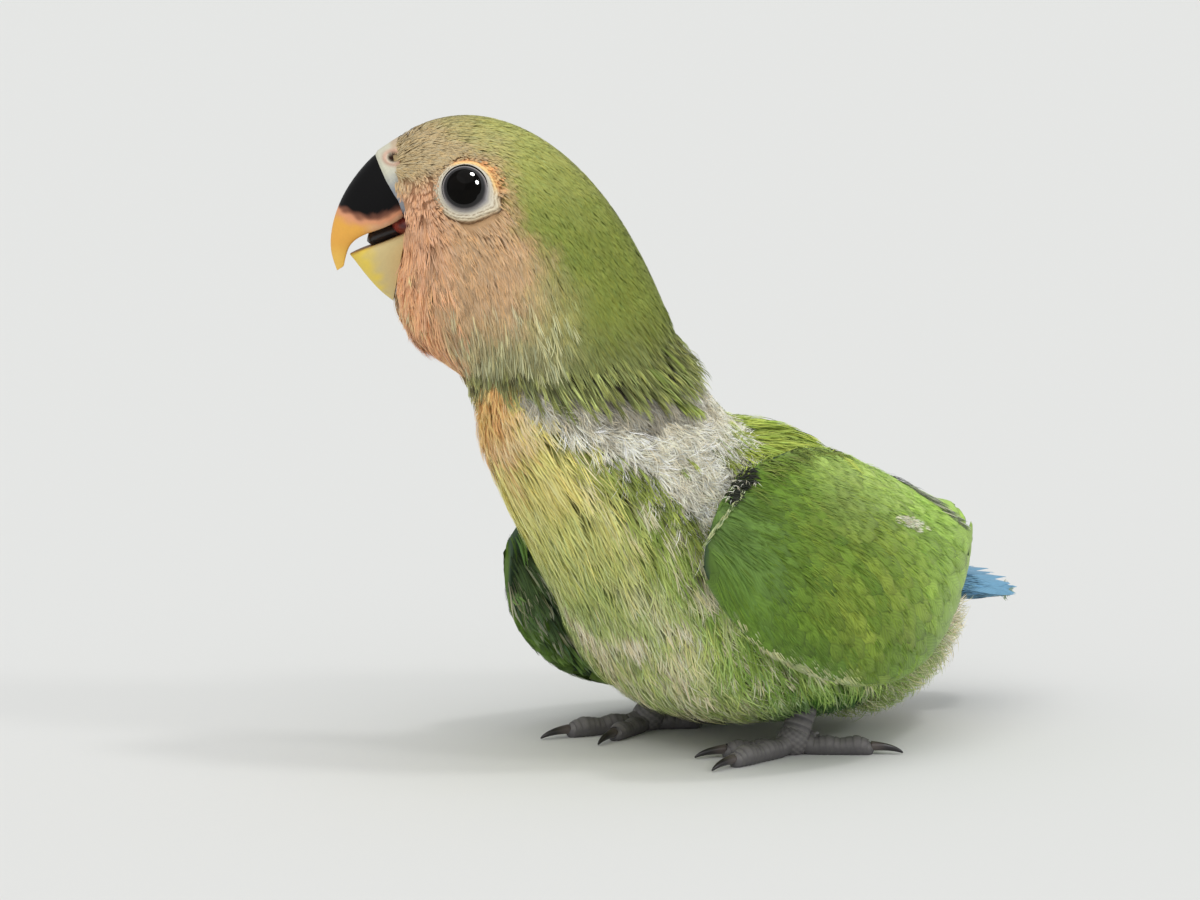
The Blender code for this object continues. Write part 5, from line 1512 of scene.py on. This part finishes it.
vane_finish = vane_material("wing_vane", 60.0, 0.5, 0.15)
for side_name, seed in (("left", 201), ("right", 211)):
    sheet = WING[side_name]
    places, wide, spot = wing_tracts(side_name, seed)
    point = sheet_at(sheet, places[:, 0], places[:, 1])[0]
    colour = wing_colour(point, spot[:, 0], spot[:, 1])
    if side_name == "left":
        colour = wing_marks(places, colour)
    tips = ramp(wide, 4.6, 5.4)
    room = np.maximum((7.7 - places[:, 0]) * 6.5 / 0.7, 1.0)
    downwards = rooted(sheet, places, wing_heading(places, side_name))[4][:, 1]
    room = np.minimum(room, np.maximum((6.1 - places[:, 1]) / np.maximum(downwards, 0.01), 1.2))
    # painted shade: the coverts' roots are darkened, most under the big tips, and so are their edges and tips
    coverts = vanes(
        sheet, places, wing_heading(places, side_name), seed + 2, np.minimum(wide * 2.0, room), wide * 1.25, colour, colour * (0.62 - 0.22 * tips)[:, None], depth=0.30,
        rise=0.14 + 0.50 * tips, camber=0.20, vary=0.09, roll=2.0, edge_shade=-(0.22 + 0.34 * tips)[:, None, None, None], rows=7, columns=6, blunt=0.5,
    )
    draw = np.random.default_rng(seed + 4)
    coat_piece(f"wing_coverts_{side_name}", [coverts], vane_finish)
    under = scattered(sheet, (0.0, 7.4), (6.3, 11.2), 0.65, seed + 5)
    rim = ramp(-np.abs(under[:, 1] - 8.5), -2.3, -1.6)
    shade = mixed(paint(150, 190, 100), INNER_GREEN, rim) * draw.uniform(0.5, 1.65, (len(under), 1))
    shade = mixed(shade, paint(226, 222, 196), 0.7 * rim * (draw.uniform(0.0, 1.0, len(under)) < 0.07 + 0.30 * ramp(-under[:, 0], -4.5, -1.0)))
    lining = strands(
        sheet, under, wing_heading(np.stack([under[:, 0], 11.0 - under[:, 1]], 1), side_name), seed + 6,
        np.minimum(draw.uniform(3.0, 7.0, len(under)), np.minimum((8.0 - under[:, 0]) * 9.0, (under[:, 1] - 5.8) * 6.5) + 0.6), 0.34, shade, shade * 0.35,
        count=5, spread=0.8, clump=0.4, depth=0.3, rise=0.3, vary=0.10, roll=12.0, wander=0.06, tint_from=0.1,
    )
    places = scattered(sheet, (0.0, 7.5), (-0.5, 5.4), 1.15, seed + 7)
    thin = np.random.default_rng(seed + 11).uniform(0.0, 1.0, len(places)) < 0.65 * ramp(places[:, 0], 2.6, 4.2) * ramp(places[:, 1], 1.6, 2.8)
    places = places[~thin]
    point = sheet_at(sheet, places[:, 0], places[:, 1])[0]
    spot = point[:, 1:]
    if side_name == "right":
        spot = (spot - (35.7, 34.6)) @ np.array([[np.cos(DROOP), -np.sin(DROOP) / OPENING], [np.sin(DROOP), np.cos(DROOP) / OPENING]]) + (35.9, 36.0)
    draw = np.random.default_rng(seed + 8)
    colour = wing_colour(point, spot[:, 0], spot[:, 1])
    if side_name == "left":
        colour = wing_marks(places, colour)
    colour = colour * draw.uniform(0.80, 1.20, (len(places), 1))
    barbs = strands(
        sheet, places, wing_heading(places, side_name), seed + 9, draw.uniform(1.8, 4.0, len(places)), 0.13, colour, colour * 0.85, count=4,
        spread=0.45, clump=0.2, depth=0.25, rise=0.22, vary=0.06, roll=8.0, wander=0.04,
    )
    batches = [barbs, lining]
    if side_name == "left":
        gap = np.array([5.30, 1.50]) + draw.normal(0.0, 1.0, (44, 2)) * (0.16, 0.08)
        gap[:, 1] += 0.25 * (gap[:, 0] - 5.30)
        pale = mixed(PALE_EDGE, DOWN_PALE, 0.7 + np.zeros(44)) * draw.uniform(0.70, 1.0, (44, 1))
        batches.append(strands(sheet, gap, wing_heading(gap, side_name), seed + 10, draw.uniform(0.9, 1.9, 44), 0.11, pale, pale * 0.9, count=6,
                               spread=0.50, clump=-0.3, depth=0.2, rise=0.34, curl=0.12, roll=16.0, wander=0.10))
    coat_piece(f"wing_barbs_{side_name}", batches, feather_material)


# Flight feathers. The tips of the growing primaries, dark grey with thin pale edges, show along the upper rear edge
# of each wing.
UPPER_EDGE = ((5.7, 6.1, 6.5, 6.8, 7.1, 7.4), (-0.60, -0.32, 0.05, 0.50, 1.15, 1.80))

for side_name, seed in (("left", 231), ("right", 241)):
    sheet = WING[side_name]
    places = scattered(sheet, (5.7, 7.5), (-1.0, 2.2), 2.2, seed, lambda point, u, v: np.abs(v - np.interp(u, *UPPER_EDGE)) < 0.38)
    steep = np.radians(np.interp(places[:, 0], (5.0, 6.0, 6.6, 7.2), (22.0, 34.0, 58.0, 66.0)))
    way = np.stack([0 * steep, np.cos(steep), -np.sin(steep)], 1)
    draw = np.random.default_rng(seed + 1)
    shade = mixed(paint(98, 103, 92), paint(204, 210, 172), (draw.uniform(0.0, 1.0, len(places)) < 0.35) * 0.9)
    room = np.minimum(draw.uniform(3.0, 5.5, len(places)), (7.9 - places[:, 0]) * 8.0)
    quills = strands(sheet, places, way, seed + 2, room, 0.17, shade, shade * 0.7, count=3, spread=0.35, clump=0.3, depth=0.1, rise=0.50,
                     vary=0.06, roll=5.0, wander=0.02)
    coat_piece(f"primaries_{side_name}", [quills], feather_material)


# Mantle and back. Lime-green feathers from between the shoulders lie back over the tops of the wings; behind them the
# back is leaf green and the rump blue.
def on_back(point, u, v):
    return (sheet_angle(v) < 66.0) & (u < 6.3)


places = scattered(FLESH, (0.2, 6.3), WHOLE_ROUND, 0.36, 301, on_back)
point = sheet_at(FLESH, places[:, 0], places[:, 1])[0]
draw = np.random.default_rng(302)
colour = body_colour(point, places[:, 0], places[:, 1]) * draw.uniform(0.88, 1.12, (len(places), 1))
coat_piece(
    "back_feathers",
    [vanes(FLESH, places, flow(places, 0.12), 303, 6.0, 2.4, colour, colour * 0.45, depth=1.8,
           rise=0.4, camber=0.2, cling=0.92, vary=0.10, roll=8.0)],
    vane_finish,
)


def on_mantle(point, u, v):
    return (sheet_angle(v) < 62.0) & (u > 3.4 + 0.6 * mottle(point, 5.0, 306)) & (u < 7.0 + 0.5 * mottle(point, 2.0, 309))


places = scattered(FLESH, (2.8, 7.6), WHOLE_ROUND, 0.55, 304, on_mantle)
over = scattered(WING["left"], (1.8, 4.6), (-0.9, -0.02), 0.9, 305)
point, top = sheet_at(FLESH, places[:, 0], places[:, 1])[0], sheet_at(WING["left"], over[:, 0], over[:, 1])[0]
draw = np.random.default_rng(307)
drape = dict(count=10, spread=0.75, clump=0.75, narrow=0.5, stagger=0.35, arch=0.3, steps=5, vary=0.08, roll=12.0, wander=0.05, tint_from=0.2)
batches = []
for sheet, roots, spot, way, longest, rise in (
    (FLESH, places, point, flow(places, 0.15), 9.0, 1.0),
    (WING["left"], over, top, np.array([0.0, 0.99, -0.10]) + 0 * top, 4.6, 0.4),
):
    tip = mixed(paint(150, 173, 66), paint(194, 206, 98), draw.uniform(0.0, 1.0, len(roots))) * draw.uniform(0.9, 1.25, (len(roots), 1))
    # painted shadow: on the wing, the strands rooted lower, under the mantle's drape, are darker
    if sheet is not FLESH:
        tip = mixed(tip, paint(56, 74, 24), 0.70 * ramp(roots[:, 1], -0.55, -0.30))
    batches.append(strands(sheet, roots, way, 308, draw.uniform(0.6, 1.0, len(roots)) * longest, 0.18, tip, tip * 0.32, depth=1.0, rise=rise, **drape))
coat_piece("mantle_feathers", batches, feather_material)


# Shoulder. Where neck, mantle and wing part there is a hollow in shade, painted as short dark strands, with a few
# white bristles of down, and a thin pale edge runs from it down the front of the wing.
shoulder = []
for side_name, seed in (("left", 251), ("right", 255)):
    sheet = WING[side_name]
    hollow_shade = scattered(sheet, (1.35, 2.25), (-0.5, 0.22), 2.4, seed)
    # painted shadow: near-black strands fill the hollow
    dark = np.repeat(paint(30, 33, 20)[None], len(hollow_shade), 0)
    shoulder.append(strands(sheet, hollow_shade, wing_heading(hollow_shade, side_name), seed + 1, 1.6, 0.25, dark, dark, count=5, spread=0.5, depth=0.3, rise=0.45))
    if side_name == "right":
        continue
    draw = np.random.default_rng(seed + 4)
    rim = np.stack([np.linspace(1.95, 0.2, 30), 0.30 + 0.22 * np.sin(np.linspace(0.0, np.pi, 30)) + draw.uniform(-0.04, 0.04, 30)], 1)
    pale = mixed(paint(208, 214, 162), paint(96, 118, 62), draw.uniform(0.0, 1.0, 30))
    shoulder.append(strands(sheet, rim, np.array([0.0, -0.70, -0.71]) + np.zeros((30, 3)), seed + 2, 2.0, 0.13, pale, pale * 0.7, count=3, spread=0.26,
                            depth=0.2, rise=0.5, wander=0.06))
    step = np.arange(12)
    bristle = np.stack([np.linspace(1.5, 2.25, 12), 0.05 + 0.16 * np.sin(step * 2.4)], 1)
    way = np.stack([0.3 * np.sin(step * 1.7), -0.7 + 0.3 * np.cos(step * 2.9), -0.5 + 0.5 * np.sin(step * 3.3)], 1)
    white = np.repeat(DOWN_PALE[None] * 0.95, 12, 0)
    shoulder.append(strands(sheet, bristle, way, seed + 3, 2.2, 0.07, white, white * 0.7, count=4, spread=0.4, clump=-0.6, depth=0.2,
                            rise=0.7, cling=0.4, curl=0.15, steps=3))
coat_piece("shoulder_edges", shoulder, feather_material)


# Tail. Twelve short growing feathers, blue with greenish grey tips, under blue coverts.
tail_places = np.array([(0.8 + 0.1 * abs(k - 5.5), 3.0 + (k - 5.5) * 0.42) for k in range(12)])
point = sheet_at(TAIL, tail_places[:, 0], tail_places[:, 1])[0]
fan = np.stack([0.5 * (point[:, 0]) / 6.0, np.ones(12), -0.1 * np.ones(12)], 1)
colour = np.repeat(BLUE[None] * 0.95, 12, 0)
vaned = vanes(TAIL, tail_places, fan, 311, 15.0 - 0.5 * np.abs(np.arange(12) - 5.5), 2.8, colour, colour * 0.6, depth=0.2, rise=0.2, cling=0.3,
              columns=4, rows=8)
coat_piece("tail_feathers", [vaned], vane_finish)
tips = scattered(TAIL, (1.2, 4.8), (0.0, 12.0), 1.6, 312)
point = sheet_at(TAIL, tips[:, 0], tips[:, 1])[0]
draw = np.random.default_rng(313)
end = ramp(tips[:, 0] + 0.6 * draw.normal(0.0, 1.0, len(tips)), 2.6, 4.2)
shade = mixed(BLUE, paint(150, 166, 138), end) * draw.uniform(0.75, 1.25, (len(tips), 1))
fan = np.stack([0.5 * point[:, 0] / 6.0, np.ones(len(tips)), -0.1 * np.ones(len(tips))], 1)
barbs = strands(TAIL, tips, fan, 314, draw.uniform(2.5, 5.0, len(tips)), 0.22, shade, shade * 0.7, count=5, spread=0.5, clump=0.3,
                depth=0.2, rise=0.4, cling=0.4, steps=3, wander=0.10)
coat_piece("tail_barbs", [barbs], feather_material)
